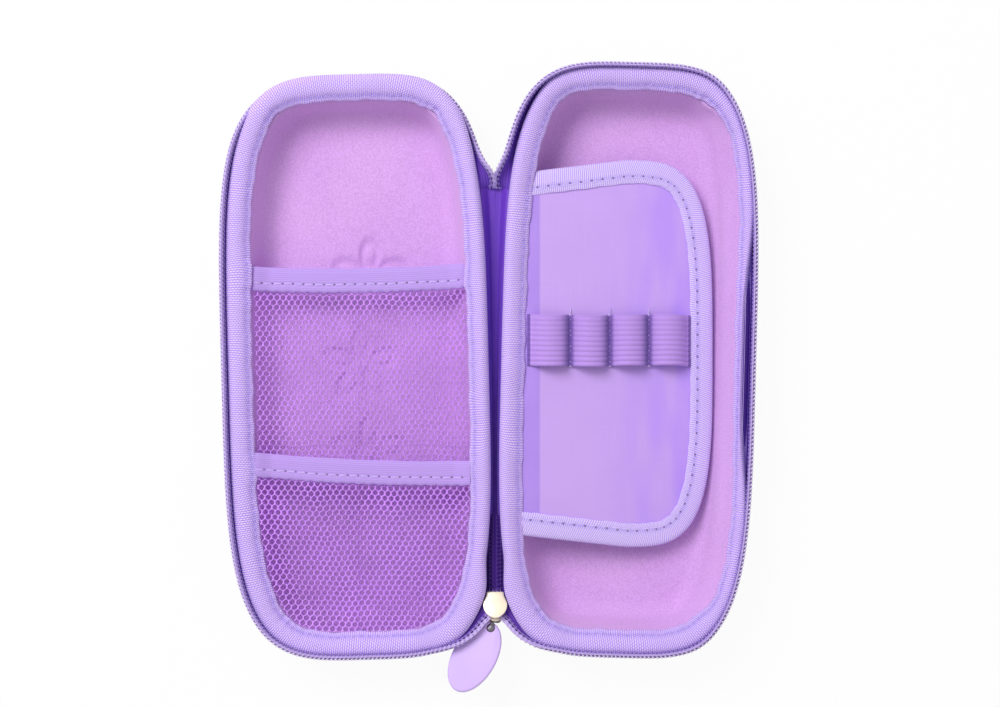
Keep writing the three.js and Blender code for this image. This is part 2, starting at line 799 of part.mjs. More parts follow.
function loopBandGeometry() {
  const base = pageHalf + loopThickness / 2;
  const line = [new THREE.Vector2(loopStart - loopFlat / 2, base)];
  for (let n = 0; n < loopCount; n += 1) {
    const from = loopStart + n * loopPitch + loopFlat / 2;
    for (let k = 0; k <= loopSteps; k += 1) {
      const turn = (k / loopSteps) * Math.PI;
      const u = from + ((loopPitch - loopFlat) * (1 - Math.cos(turn))) / 2;
      line.push(new THREE.Vector2(u, base + (loopRise - loopThickness) * Math.sin(turn)));
    }
  }
  line.push(new THREE.Vector2(loopStart + loopCount * loopPitch + loopFlat / 2, base));
  const lifted = ribbon(line, loopThickness).map((p) => p.setY(Math.max(p.y, pageHalf)));
  const band = plate(lifted, loopBandWidth, 0).rotateX(Math.PI / 2);
  return band.translate(0, loopBandPlace + loopBandWidth / 2, 0);
}

function seamGeometry(n) {
  const seam = new THREE.BoxGeometry(seamWidth, loopBandWidth, seamHeight);
  const level = pageHalf + loopThickness + seamHeight / 2;
  return seam.translate(loopStart + n * loopPitch, loopBandPlace, level);
}

// The slider's own frame has the case's inside above it and its nose, where the zip opens, at -Y.
function sliderOutline() {
  const outline = new THREE.Shape();
  outline.moveTo(sliderBackWidth / 2, sliderLength / 2);
  outline.lineTo(-sliderBackWidth / 2, sliderLength / 2);
  outline.lineTo(-sliderWidth / 2, 0);
  outline.absellipse(0, 0, sliderWidth / 2, sliderLength / 2, Math.PI, 2 * Math.PI);
  return outline.getPoints(noseSteps);
}

function block(size, x, y, z) {
  return new THREE.BoxGeometry(...size).translate(x, y, z);
}

const bridgeLevel = -sliderThroat / 2 - sliderPlate - bridgeOpening / 2;

function sliderGeometry() {
  const postPlace = postInset + (postLength - sliderLength) / 2;
  const leg = [bridgeWidth, bridgeBar, bridgeOpening + (sliderPlate + bridgeBar) / 2];
  const legLevel = bridgeLevel + (sliderPlate - bridgeBar) / 4;
  const legReach = (bridgeLength - bridgeBar) / 2;
  const barLevel = bridgeLevel - (bridgeOpening + bridgeBar) / 2;
  return joined([
    plate(sliderOutline(), sliderPlate, sliderThroat / 2),
    plate(sliderOutline(), sliderPlate, -sliderThroat / 2 - sliderPlate),
    block([postWidth, postLength, sliderThroat + sliderPlate], 0, postPlace, 0),
    block(leg, 0, -bridgePlace - legReach, legLevel),
    block(leg, 0, -bridgePlace + legReach, legLevel),
    block([bridgeWidth, bridgeLength, bridgeBar], 0, -bridgePlace, barLevel),
  ]);
}

// The link lies along -Y from the middle of the bar that the slider's bridge holds. Its round tail
// is let into the puller's end, which turns on it, and the puller's own frame starts there.
const linkLength = linkHoleLength + 2 * linkBar;
const tailPlace = linkLength - linkBar / 2 + linkNeck + tailRadius;

function linkGeometry() {
  const loop = block([linkHoleWidth + 2 * linkBar, linkLength, linkBar], 0, (linkBar - linkLength) / 2, 0);
  const holeSize = [linkHoleWidth, linkHoleLength, linkBar + 2 * cutOverrun];
  const hole = block(holeSize, 0, -(linkBar + linkHoleLength) / 2, 0);
  const neckLength = linkBar / 2 + linkNeck + tailRadius;
  const neck = block([linkNeckWidth, neckLength, linkBar], 0, neckLength / 2 - tailPlace, 0);
  const tail = disc(tailRadius, linkBar).translate(0, -tailPlace, 0);
  const eye = toManifold(loop).subtract(toManifold(hole));
  return fromManifold(eye.add(toManifold(neck)).add(toManifold(tail)));
}

function disc(radius, thickness) {
  return new THREE.CylinderGeometry(radius, radius, thickness, discSides).rotateX(Math.PI / 2);
}

// The slot that the link's tail turns in: a round pocket, and a mouth that opens towards the link.
function slotGeometry() {
  const height = linkBar + 2 * tailFit;
  const reach = tailRadius + tailWall + cutOverrun;
  const narrow = linkNeckWidth / 2 + tailFit;
  const wide = narrow + reach * Math.tan(radians(pullerTurnDegrees)) + tailFit;
  const corners = [[-narrow, 0], [narrow, 0], [wide, reach], [-wide, reach]];
  const mouth = corners.map(([x, y]) => new THREE.Vector2(x, y));
  return joined([disc(tailRadius + tailFit, height), plate(mouth, height, -height / 2)]);
}

function pullerGeometry() {
  const oval = new THREE.Shape();
  oval.absellipse(0, 0, pullerWidth / 2 - pullerRound, pullerLength / 2 - pullerRound, 0, 2 * Math.PI);
  const slab = new THREE.ExtrudeGeometry(oval, {
    depth: pullerThickness - 2 * pullerRound,
    bevelThickness: pullerRound,
    bevelSize: pullerRound,
    bevelSegments: roundSteps,
    curveSegments: ovalSteps,
  });
  slab.translate(0, tailRadius + tailWall - pullerLength / 2, pullerRound - pullerThickness / 2);
  return fromManifold(toManifold(slab).subtract(toManifold(slotGeometry())));
}

// The middle of the chain, between the two coils, at a place along the spine.
function chainMiddle(y) {
  const [a, b] = [front, back].map((half) => {
    const point = spinePoint(half, y);
    const { coil } = tapeLine(half, point);
    return at(half, coil.x, coil.y, point);
  });
  return a.add(b).divideScalar(2);
}

const group = new THREE.Group();
const recess = plate(panelOutline(0), panelRecess + cutOverrun, -cutOverrun);
const frontShell = fromManifold(toManifold(shellGeometry(front)).subtract(toManifold(recess)));
group.add(piece('front_shell', frontShell, coverFabric));
group.add(piece('back_shell', shellGeometry(back), coverFabric));
group.add(piece('cover_relief', reliefGeometry(), reliefRubber));
for (const half of [front, back]) {
  group.add(piece(`${half.name}_lining`, liningGeometry(half), liningFabric));
  group.add(piece(`${half.name}_binding`, bindingGeometry(half), bindingFabric));
  group.add(piece(`${half.name}_zip_tape`, tapeGeometry(half), tapeFabric));
  group.add(piece(`${half.name}_zip_coil`, coilGeometry(half), coilNylon));
}
group.add(piece('hinge_strip', stripGeometry(), stripNylon));

const upperNet = upperNetParts();
group.add(piece('upper_pocket_net', upperNet.top, netFabric));
group.add(piece('upper_pocket_net_base', upperNet.base, netFabric));
group.add(piece('lower_pocket_net', fromManifold(netSolid(lowerHem)), netFabric));
group.add(piece('upper_pocket_hem', hemGeometry(upperHem), hemFabric));
group.add(piece('lower_pocket_hem', hemGeometry(lowerHem), hemFabric));

const page = new THREE.Group();
page.position.set(pageHingePlace, 0, halfDepth - pageHingeDrop);
page.rotation.y = Math.asin(pageEdgeDrop / pageWidth);
const board = plate(pageOutline(pageFit, boardSetback), boardThickness, -boardThickness / 2);
page.add(piece('page_board', board, pageBoard));
const cloth = pageOutline(pageFit, 0);
page.add(piece('page_front_fabric', plate(cloth, pageFabric, boardThickness / 2), satinNylon));
page.add(piece('page_back_fabric', plate(cloth, pageFabric, -pageHalf), satinNylon));
page.add(piece('page_binding', pageBindingGeometry(), bindingFabric));
page.add(piece('pen_loop_band', loopBandGeometry(), loopElastic));
for (let n = 1; n < loopCount; n += 1) {
  page.add(piece(`pen_loop_seam_${n}`, seamGeometry(n), seamThread));
}
group.add(page);

const slider = new THREE.Group();
const noseLevel = chainMiddle(sliderPlace - sliderLength / 2).z;
const backLevel = chainMiddle(sliderPlace + sliderLength / 2).z;
const sliderTilt = Math.atan((noseLevel - backLevel) / sliderLength);
slider.position.copy(chainMiddle(sliderPlace));
slider.rotation.x = -sliderTilt;
slider.add(piece('slider', sliderGeometry(), sliderPaint));

const link = new THREE.Group();
link.position.set(0, -bridgePlace, bridgeLevel);
link.rotation.set(radians(pullDropDegrees), 0, -radians(linkTurnDegrees), 'ZYX');
link.add(piece('pull_link', linkGeometry(), linkMetal));
slider.add(link);

const puller = new THREE.Group();
puller.position.set(0, -tailPlace, 0);
puller.rotation.z = -radians(pullerTurnDegrees);
puller.add(piece('puller', pullerGeometry(), pullerRubber));
link.add(puller);
group.add(slider);

// The origin is under the middle of the whole case.
const middle = new THREE.Box3().setFromObject(group, true).getCenter(new THREE.Vector3());
group.position.set(-middle.x, -middle.y, 0);

export default group;
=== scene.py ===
# Pencil case lying open on a pale table: the looks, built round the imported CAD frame.
# Lengths here are millimetres in the case's own frame. They become metres when a mesh is made.
import json
import math

import bmesh
import bpy
import numpy as np
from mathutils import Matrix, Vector


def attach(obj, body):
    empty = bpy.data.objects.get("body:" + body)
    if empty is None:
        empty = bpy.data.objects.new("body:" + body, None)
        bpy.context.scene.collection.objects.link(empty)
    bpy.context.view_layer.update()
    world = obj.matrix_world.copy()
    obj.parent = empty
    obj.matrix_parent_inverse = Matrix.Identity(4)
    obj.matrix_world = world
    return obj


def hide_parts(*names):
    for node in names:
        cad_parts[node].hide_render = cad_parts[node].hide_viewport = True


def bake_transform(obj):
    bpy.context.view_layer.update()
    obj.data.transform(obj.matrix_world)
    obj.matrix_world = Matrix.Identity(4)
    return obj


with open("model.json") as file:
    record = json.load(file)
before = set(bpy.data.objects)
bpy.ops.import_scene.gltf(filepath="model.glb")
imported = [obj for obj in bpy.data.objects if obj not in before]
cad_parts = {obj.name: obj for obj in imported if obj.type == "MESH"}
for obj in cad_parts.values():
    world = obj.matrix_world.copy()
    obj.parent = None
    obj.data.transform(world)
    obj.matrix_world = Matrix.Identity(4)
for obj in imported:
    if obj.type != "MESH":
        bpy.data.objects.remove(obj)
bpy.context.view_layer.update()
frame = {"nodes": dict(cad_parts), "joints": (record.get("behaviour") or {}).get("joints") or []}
joints = {joint["name"]: joint for joint in frame["joints"]}
print("frame loaded:", len(frame["nodes"]), "nodes")

# the case's own frame: X across the spine, Y along it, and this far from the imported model's origin
origin = {"x": 1.571, "y": 5.443}


def toMetres(points):
    return (np.asarray(points, float) + (origin["x"], origin["y"], 0)) / 1000


def smooth(low, high, value):
    t = np.clip((np.asarray(value, float) - low) / (high - low), 0, 1)
    return t * t * (3 - 2 * t)


# a rounded hill, one high in its middle
def hill(value, middle, width, power=2):
    return np.exp(-(((value - middle) / width) ** power))


def unit(vectors):
    return vectors / np.maximum(np.linalg.norm(vectors, axis=-1, keepdims=True), 1e-12)


# a rolling, never repeating wave of about one high, for cloth that isn't quite even
def ripple(value, seed):
    value = np.asarray(value, float)
    return (
        0.5 * np.sin(value + seed)
        + 0.3 * np.sin(value * 2.37 + 1.9 * seed)
        + 0.2 * np.sin(value * 0.61 + 3.1 * seed)
    )


# how long a line is up to each of its points
def lengthAlong(points):
    return np.concatenate([[0], np.cumsum(np.linalg.norm(np.diff(points, axis=0), axis=1))])


# a cloth place that runs out over a band's face, back under it and home
def thereAndBack(across):
    return np.concatenate([across, across[::-1], [0]])


# a direction, or each one of many, a quarter turn to the left
def turnedLeft(tangent):
    return np.stack([-tangent[..., 1], tangent[..., 0]], -1)


# each column of a table, read between its rows
def readBetween(spots, knots, rows):
    return np.stack([np.interp(spots, knots, column) for column in rows.T], -1)


# how far a rounded square reaches at each angle, next to a circle of the same width
def squareReach(turn, power):
    return (np.abs(np.cos(turn)) ** power + np.abs(np.sin(turn)) ** power) ** (-1 / power)


def ovalRing(middle, wide, tall, turn, z):
    x = middle[0] + wide * np.cos(turn)
    y = middle[1] + tall * np.sin(turn)
    return np.stack([x, y, np.full(len(turn), float(z))], -1)


# a full turn, open at its end
def fullTurn(steps):
    return np.linspace(0, 2 * np.pi, steps, endpoint=False)


# mesh parts: points, faces and a cloth place (along, across) for each face corner
def gridPart(rows, along=None, across=None, closedAlong=False, closedRound=False, capped=False):
    rows = np.asarray(rows, float)
    a, b = rows.shape[:2]
    i, j = np.meshgrid(
        np.arange(a if closedAlong else a - 1),
        np.arange(b if closedRound else b - 1),
        indexing="ij",
    )
    cornersI = np.stack([i, i, i + 1, i + 1], -1).reshape(-1, 4)
    cornersJ = np.stack([j, j + 1, j + 1, j], -1).reshape(-1, 4)
    faces = ((cornersI % a) * b + cornersJ % b).tolist()
    along = np.arange(a + 1) if along is None else np.asarray(along, float)
    across = np.arange(b + 1) if across is None else np.asarray(across, float)
    cloth = np.stack([along[cornersI], across[cornersJ]], -1).reshape(-1, 2)
    if capped:
        faces.append(list(range(b))[::-1])
        faces.append([(a - 1) * b + k for k in range(b)])
        cloth = np.vstack([cloth, np.zeros((2 * b, 2))])
    return rows.reshape(-1, 3), faces, cloth


# a round stack of rings, closed by its own first and last rings or by caps
def ringPart(rings, capped=False):
    return gridPart(rings, closedRound=True, capped=capped)


def joinParts(parts):
    points, faces, cloth, start = [], [], [], 0
    for partPoints, partFaces, partCloth in parts:
        points.append(partPoints)
        faces += [[k + start for k in face] for face in partFaces]
        cloth.append(partCloth)
        start += len(partPoints)
    return np.vstack(points), faces, np.vstack(cloth)


def signedVolume(points, faces):
    total = 0.0
    for size in {len(face) for face in faces}:
        corners = points[np.array([face for face in faces if len(face) == size])]
        for k in range(1, size - 1):
            total += np.einsum("ij,ij->", corners[:, 0], np.cross(corners[:, k], corners[:, k + 1]))
    return total


# the same part with every face turned over
def turnedOver(points, faces, cloth):
    order, start = [], 0
    for face in faces:
        order += range(start + len(face) - 1, start - 1, -1)
        start += len(face)
    return points, [face[::-1] for face in faces], cloth[order]


def makePiece(name, parts, finish, body=None, replaces=(), sharp=None, solid=True):
    if isinstance(parts, tuple):
        parts = [parts]
    if solid:
        parts = [turnedOver(*part) if signedVolume(*part[:2]) < 0 else part for part in parts]
    points, faces, cloth = joinParts(parts)
    mesh = bpy.data.meshes.new(name)
    mesh.from_pydata(toMetres(points).tolist(), [], faces)
    mesh.uv_layers.new(name="cloth").data.foreach_set("uv", cloth.astype(np.float32).ravel())
    mesh.shade_smooth()
    if sharp is not None:
        mesh.set_sharp_from_angle(angle=math.radians(sharp))
    mesh.materials.append(finish)
    piece = bpy.data.objects.new(name, mesh)
    bpy.context.scene.collection.objects.link(piece)
    if body:
        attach(piece, body)
    if replaces:
        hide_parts(*replaces)
    return piece


# across and up, square to a path, from a hint of which way is up
def pathFrame(path, tangent, up):
    up = np.broadcast_to(np.asarray(up, float), path.shape)
    normal = unit(up - np.sum(up * tangent, -1, keepdims=True) * tangent)
    return np.cross(tangent, normal)[:, None], normal[:, None]


# a tube along a path
def tubePart(path, radius, up, sides=8, closed=False, flat=1.0):
    path = np.asarray(path, float)
    ends = np.roll(path, -1, 0) - np.roll(path, 1, 0) if closed else np.gradient(path, axis=0)
    side, normal = pathFrame(path, unit(ends), up)
    turn = fullTurn(sides)[None, :, None]
    radius = np.broadcast_to(np.asarray(radius, float), (len(path),))[:, None, None]
    ring = np.cos(turn) * side + flat * np.sin(turn) * normal
    along = lengthAlong(path)
    if closed:
        along = np.append(along, 2 * along[-1] - along[-2])
    return gridPart(path[:, None] + radius * ring, along, None, closed, True, not closed)


# single stitches: short bowed threads whose ends dip into the cloth
def stitchParts(middles, alongs, ups, length, radius, rise, sides=6):
    share = np.array([-1, -0.86, -0.45, 0, 0.45, 0.86, 1])
    lift = rise * (1 - share**4) - radius * share**6 * 1.6
    thin = radius * (1 - 0.45 * share**8)
    parts = []
    for middle, along, up in zip(middles, unit(alongs), unit(ups)):
        path = middle + np.outer(share * length / 2, along) + np.outer(lift, up)
        parts.append(tubePart(path, thin, up, sides))
    return parts


# the rim of a half, worked out as if its spine side were at +X and then mirrored for the back half
shape = {
    "halfDepth": 24, "spineHalfGap": 1.6, "splayDegrees": 1.5, "outlinePower": 4,
    "frontWidth": 98.6, "frontLength": 219.6, "backWidth": 95.4, "backLength": 223.0, "shift": 1.2,
    "wallDraftDegrees": 14, "shellOuter": 1.6, "rimWall": 5.4, "liningOuter": 5.5, "liningInner": 6.4,
    "shellFloor": 3.4, "liningFloor": 4.3, "baseRadius": 9, "trayRadius": 7.6,
}
draft = math.tan(math.radians(shape["wallDraftDegrees"]))
depth = shape["halfDepth"]


def makeRim(name, width, length, shift, side):
    turn = fullTurn(2880)
    reach = squareReach(turn, shape["outlinePower"])
    flat = np.stack([width / 2 * reach * np.cos(turn), length / 2 * reach * np.sin(turn)], -1)
    splay = math.radians(shape["splayDegrees"])
    flat = flat @ np.array([[math.cos(splay), math.sin(splay)], [-math.sin(splay), math.cos(splay)]])
    flat += (-flat[:, 0].max() - shape["spineHalfGap"], shift)
    inward = turnedLeft(unit(np.roll(flat, -1, 0) - np.roll(flat, 1, 0)))
    place = np.vstack([flat, flat[:1]])
    arc = lengthAlong(place)
    return {
        "name": name, "side": side, "total": arc[-1], "arc": arc,
        "place": place, "inward": np.vstack([inward, inward[:1]]),
    }


front = makeRim("front", shape["frontWidth"], shape["frontLength"], -shape["shift"], 1)
back = makeRim("back", shape["backWidth"], shape["backLength"], shape["shift"], -1)


# the place on the rim and the way inwards, at each station round it
def rimAt(rim, stations):
    stations = np.asarray(stations, float) % rim["total"]
    place = readBetween(stations, rim["arc"], rim["place"])
    return place, unit(readBetween(stations, rim["arc"], rim["inward"]))


def roundRim(rim, count):
    return np.linspace(0, rim["total"], count, endpoint=False)


# points at [station, section]: each is an inward distance from the rim and a height
def rimRows(rim, stations, inward, height):
    place, normal = rimAt(rim, stations)
    inward = np.atleast_2d(inward) * np.ones((len(place), 1))
    x = rim["side"] * (place[:, :1] + inward * normal[:, :1])
    y = place[:, 1:] + inward * normal[:, 1:]
    return np.stack([x, y, np.atleast_2d(height) * np.ones_like(x)], -1)


# the station of a place along the spine side
def rimAtPlace(rim, y):
    spine = rim["inward"][:-1, 0] < -0.3
    order = np.argsort(rim["place"][:-1, 1][spine])
    arc = rim["arc"][:-1][spine]
    arc = np.where(arc > rim["total"] / 2, arc - rim["total"], arc)
    return np.interp(y, rim["place"][:-1, 1][spine][order], arc[order])


# a drafted wall that turns into a floor, from the top down
def wallProfile(inward, top, floor, radius, steps):
    angle = math.radians(shape["wallDraftDegrees"])
    middle = inward + (depth - floor - radius) * draft + radius / math.cos(angle)
    turns = np.linspace(angle, math.pi / 2, steps + 1)
    wall = np.stack([middle - radius * np.cos(turns), floor + radius * (1 - np.sin(turns))], -1)
    start = np.array([inward + (depth - top) * draft, top])
    return np.vstack([start + (wall[0] - start) * k / 4 for k in range(4)] + [wall])


# rings that close a loop of points over, towards one middle point
def towards(ring, middle, count, power=1.0):
    shares = np.linspace(0, 1, count + 1)[1:, None, None] ** power
    return ring[None] * (1 - shares) + np.asarray(middle, float) * shares


# On its far side the back half's band is drawn further over the rim, so less of it shows there.
slim = {"most": 3.3, "middle": 1.3, "reach": 46, "pulled": 2.7}


def slimming(rim, stations):
    if rim is front:
        return np.zeros(len(stations))
    place, normal = rimAt(rim, stations)
    outer = smooth(0.72, 0.97, normal[:, 0])
    return (slim["most"] - slim["middle"] * hill(place[:, 1], 0, slim["reach"], 4)) * outer


# The band bulges outwards over the zip tape, most beside the slider. It is pulled in along the far side.
swell = {"most": 1.1, "front": 1.7, "corner": 2.7, "sliderEnd": -86.4}


def pulledIn(rim, stations):
    place, normal = rimAt(rim, stations)
    return hill(place[:, 1], 0, slim["reach"], 4) * smooth(0.85, 0.98, normal[:, 0]) * (rim is back)


def swelling(rim, stations):
    _, normal = rimAt(rim, stations)
    before = rim["total"] + rimAtPlace(rim, swell["sliderEnd"]) - stations
    out = swell["most"] * smooth(-0.97, -0.6, normal[:, 0])
    out = np.maximum(out, swell["corner"] * smooth(-14, 3, before) * smooth(44, 16, before))
    if rim is front:
        return np.maximum(out, swell["front"] * smooth(-0.1, -0.6, normal[:, 1]))
    pulled = pulledIn(rim, stations)
    return out * (1 - pulled) - slim["pulled"] * pulled


# Finishes. A signal is a value inside a material, so that a pattern reads as a sum.
class Signal:
    def __init__(self, tree, socket):
        self.tree = tree
        self.socket = socket

    def __add__(self, other):
        return calc("ADD", self, other)

    def __sub__(self, other):
        return calc("SUBTRACT", self, other)

    def __rsub__(self, other):
        return calc("SUBTRACT", other, self)

    def __mul__(self, other):
        return calc("MULTIPLY", self, other)

    def __truediv__(self, other):
        return calc("DIVIDE", self, other)

    def __pow__(self, other):
        return calc("POWER", self, other)

    def __gt__(self, other):
        return calc("GREATER_THAN", self, other)

    def __lt__(self, other):
        return calc("LESS_THAN", self, other)

    def __abs__(self):
        return calc("ABSOLUTE", self)


# gives a socket a signal, a number, a vector or a colour
def feed(socket, value):
    if isinstance(value, Signal):
        value.tree.links.new(value.socket, socket)
    elif isinstance(value, tuple):
        socket.default_value = (*value, 1)[:len(socket.default_value)]
    elif value is not None:
        socket.default_value = value


# the same for several sockets, by their names
def feedNamed(node, sockets):
    for key, value in sockets.items():
        feed(node.inputs[key.replace("_", " ")], value)


def newNode(tree, kind, output=0, **sockets):
    node = tree.nodes.new("ShaderNode" + kind)
    feedNamed(node, sockets)
    return Signal(tree, node.outputs[output])


def calc(kind, first, second=None, clamp=False):
    tree = (first if isinstance(first, Signal) else second).tree
    node = tree.nodes.new("ShaderNodeMath")
    node.operation = kind
    node.use_clamp = clamp
    feed(node.inputs[0], first)
    feed(node.inputs[1], second)
    return Signal(tree, node.outputs[0])


def noise(place, scale, detail=3.0, rough=0.55):
    return newNode(place.tree, "TexNoise", "Fac", Vector=place, Scale=scale, Detail=detail, Roughness=rough)


# rounded ribs with a sharp valley between them, one for each pitch
def ribs(place, pitch):
    return abs(calc("SINE", place * (math.pi / pitch)))


def rampColour(value, low, high, lowAt=0.0, highAt=1.0):
    node = value.tree.nodes.new("ShaderNodeValToRGB")
    for element, place, colour in zip(node.color_ramp.elements, (lowAt, highAt), (low, high)):
        element.position = place
        element.color = (*colour, 1)
    feed(node.inputs[0], value)
    return Signal(value.tree, node.outputs[0])


# the second colour over the first, by its share
def over(first, second, share):
    tree = next(value.tree for value in (share, first, second) if isinstance(value, Signal))
    node = tree.nodes.new("ShaderNodeMix")
    node.data_type = "RGBA"
    for socket, value in zip((node.inputs[0], node.inputs[6], node.inputs[7]), (share, first, second)):
        feed(socket, value)
    return Signal(tree, node.outputs[2])


# a value from one range to another, eased at both ends if it is gentle
def remap(value, low, high, gentle=True, **ends):
    result = newNode(value.tree, "MapRange", "Result", Value=value, From_Min=low, From_Max=high, **ends)
    result.socket.node.interpolation_type = "SMOOTHSTEP" if gentle else "LINEAR"
    return result


def scaled(colour, share):
    return tuple(channel * share for channel in colour)


def newFinish(name, colour, rough, **sockets):
    finish = bpy.data.materials.new(name)
    finish.use_nodes = True
    shader = finish.node_tree.nodes["Principled BSDF"]
    feedNamed(shader, {"Base_Color": colour, "Roughness": rough, **sockets})
    return finish


# a finish's colour pattern, and its relief with a depth in millimetres
def dress(finish, colour, height, deep, strength=1.0):
    tree = finish.node_tree
    bump = newNode(tree, "Bump", Distance=deep / 1000, Strength=strength, Height=height)
    feedNamed(tree.nodes["Principled BSDF"], {"Base_Color": colour, "Normal": bump})
    return finish


# the places along and across a piece's cloth, and both as a vector
def clothPlace(finish):
    tree = finish.node_tree
    place = newNode(tree, "UVMap")
    place.socket.node.uv_map = "cloth"
    along = newNode(tree, "SeparateXYZ", Vector=place)
    return along, Signal(tree, along.socket.node.outputs[1]), place


def objectPlace(finish):
    return newNode(finish.node_tree, "TexCoord", "Object")


# a colour that drifts softly between a darker and a lighter share of itself
def cloudy(pattern, colour, low, high, lowAt=0.3, highAt=0.7):
    return rampColour(pattern, scaled(colour, low), scaled(colour, high), lowAt, highAt)


# grosgrain: cross ribs made of staggered yarns, with needle holes along its stitch line. Its pulled colour is
# painted shade, laid patchily in the valley along that line.
grosgrain = {
    "colour": (0.655, 0.515, 0.97), "ribPitch": 0.82, "yarnPitch": 0.86, "stitchShare": 0.1, "holeHalf": 0.4,
    "pulled": (0.36, 0.25, 0.84), "valleyShadeHalf": 1.5, "lean": 1.0, "blotch": (0.50, 0.35, 0.90),
    "hole": (0.16, 0.09, 0.36),
}


def grosgrainFinish(name, stitchAt, stitchPitch, gap, high, yarnShare, slant, holeShade, relief):
    finish = newFinish(name, grosgrain["colour"], 0.72, Sheen_Weight=0.25, Sheen_Roughness=0.4)
    along, across, place = clothPlace(finish)
    lean = noise(place, 0.035, 1.0) * grosgrain["lean"] + (slant - grosgrain["lean"] / 2)
    leaning = across * lean + along
    rib = ribs(leaning, grosgrain["ribPitch"]) ** 1.4
    row = calc("FLOOR", leaning / grosgrain["ribPitch"])
    yarn = abs(calc("SINE", across * (math.pi / grosgrain["yarnPitch"]) + row * (math.pi / 2)))
    weave = (rib * 0.8 + 0.2) * (yarn * yarnShare + (1 - yarnShare))
    beat = calc("FRACT", along / stitchPitch)
    fromLine = abs(across - stitchAt)
    hole = (abs(beat - 0.5) < grosgrain["stitchShare"]) * (fromLine < grosgrain["holeHalf"])
    cloth = rampColour(weave, gap, high, 0.1, 0.72)
    cloth = over(cloth, grosgrain["blotch"], noise(place, 0.09, 2.0) * 0.22)
    # painted shade: the pulled colour, patchy, within a short reach of the stitch line's valley
    tuck = calc("SUBTRACT", 1.0, fromLine / grosgrain["valleyShadeHalf"], clamp=True) * noise(place, 0.45, 2.0)
    cloth = over(cloth, grosgrain["pulled"], tuck * 0.85)
    cloth = over(cloth, grosgrain["hole"], hole * holeShade)
    return dress(finish, cloth, weave - hole * 1.5, relief)


# brushed jersey bonded to the moulded foam
jersey = {
    "colour": (0.72, 0.42, 0.84), "shade": (0.66, 0.36, 0.80), "tint": (1.0, 0.82, 1.0),
    "patchScale": 26, "knitScale": 1750, "fuzzScale": 5200,
}


def jerseyFinish():
    finish = newFinish(
        "liningJersey", jersey["colour"], 0.95, Sheen_Weight=0.35, Sheen_Roughness=0.6,
        Specular_IOR_Level=0.15, Sheen_Tint=jersey["tint"],
    )
    place = objectPlace(finish)
    knit = noise(place, jersey["knitScale"], 2.0, 0.7)
    fuzz = noise(place, jersey["fuzzScale"], 1.0)
    base = rampColour(noise(place, jersey["patchScale"], 2.0), jersey["shade"], jersey["colour"], 0.3, 0.65)
    speckle = rampColour(knit, scaled(jersey["shade"], 0.66), scaled(jersey["colour"], 1.18), 0.32, 0.68)
    return dress(finish, over(base, speckle, 0.42), knit + fuzz * 0.5, 0.1, 0.6)


# the cover: thin coated cloth pressed onto the foam
coverLook = {"colour": (0.60, 0.47, 0.86), "patchScale": 18, "grainScale": 2600}


def coverFinish():
    finish = newFinish("coverCloth", coverLook["colour"], 0.62, Sheen_Weight=0.12)
    place = objectPlace(finish)
    grain = noise(place, coverLook["grainScale"], 3.0, 0.65)
    base = cloudy(noise(place, coverLook["patchScale"], 2.0), coverLook["colour"], 0.93, 1.04)
    fine = cloudy(grain, coverLook["colour"], 0.86, 1.06)
    return dress(finish, over(base, fine, 0.4), grain, 0.06, 0.6)


# matt rubber for the relief and the puller, and the page's board: one tone and a fine grain
def rubberFinish(name, colour, rough, grain):
    finish = newFinish(name, colour, rough, Specular_IOR_Level=0.35)
    place = objectPlace(finish)
    cloud = cloudy(noise(place, 60, 2.0), colour, 0.97, 1.02, 0.35, 0.65)
    return dress(finish, cloud, noise(place, 4200, 2.0), grain, 0.5)


# woven zip tape: lengthwise cords with a slanting twill between them. Its dark web is painted crevice shade;
# it is painted paler towards its coil, where it stands lit, with painted shadow dots and lines between the
# coil's teeth.
tapeLook = {
    "colour": (0.075, 0.012, 0.33), "light": (0.20, 0.09, 0.55), "cordPitch": 1.15, "twillPitch": 0.62,
    "middle": (0.40, 0.27, 0.70), "middleAt": 7.2, "edge": (0.70, 0.57, 0.90), "edgeAt": 9.0,
    "dotPitch": 1.56, "shadowDotLines": (7.7, 8.75), "beadShadowAt": 9.15,
}


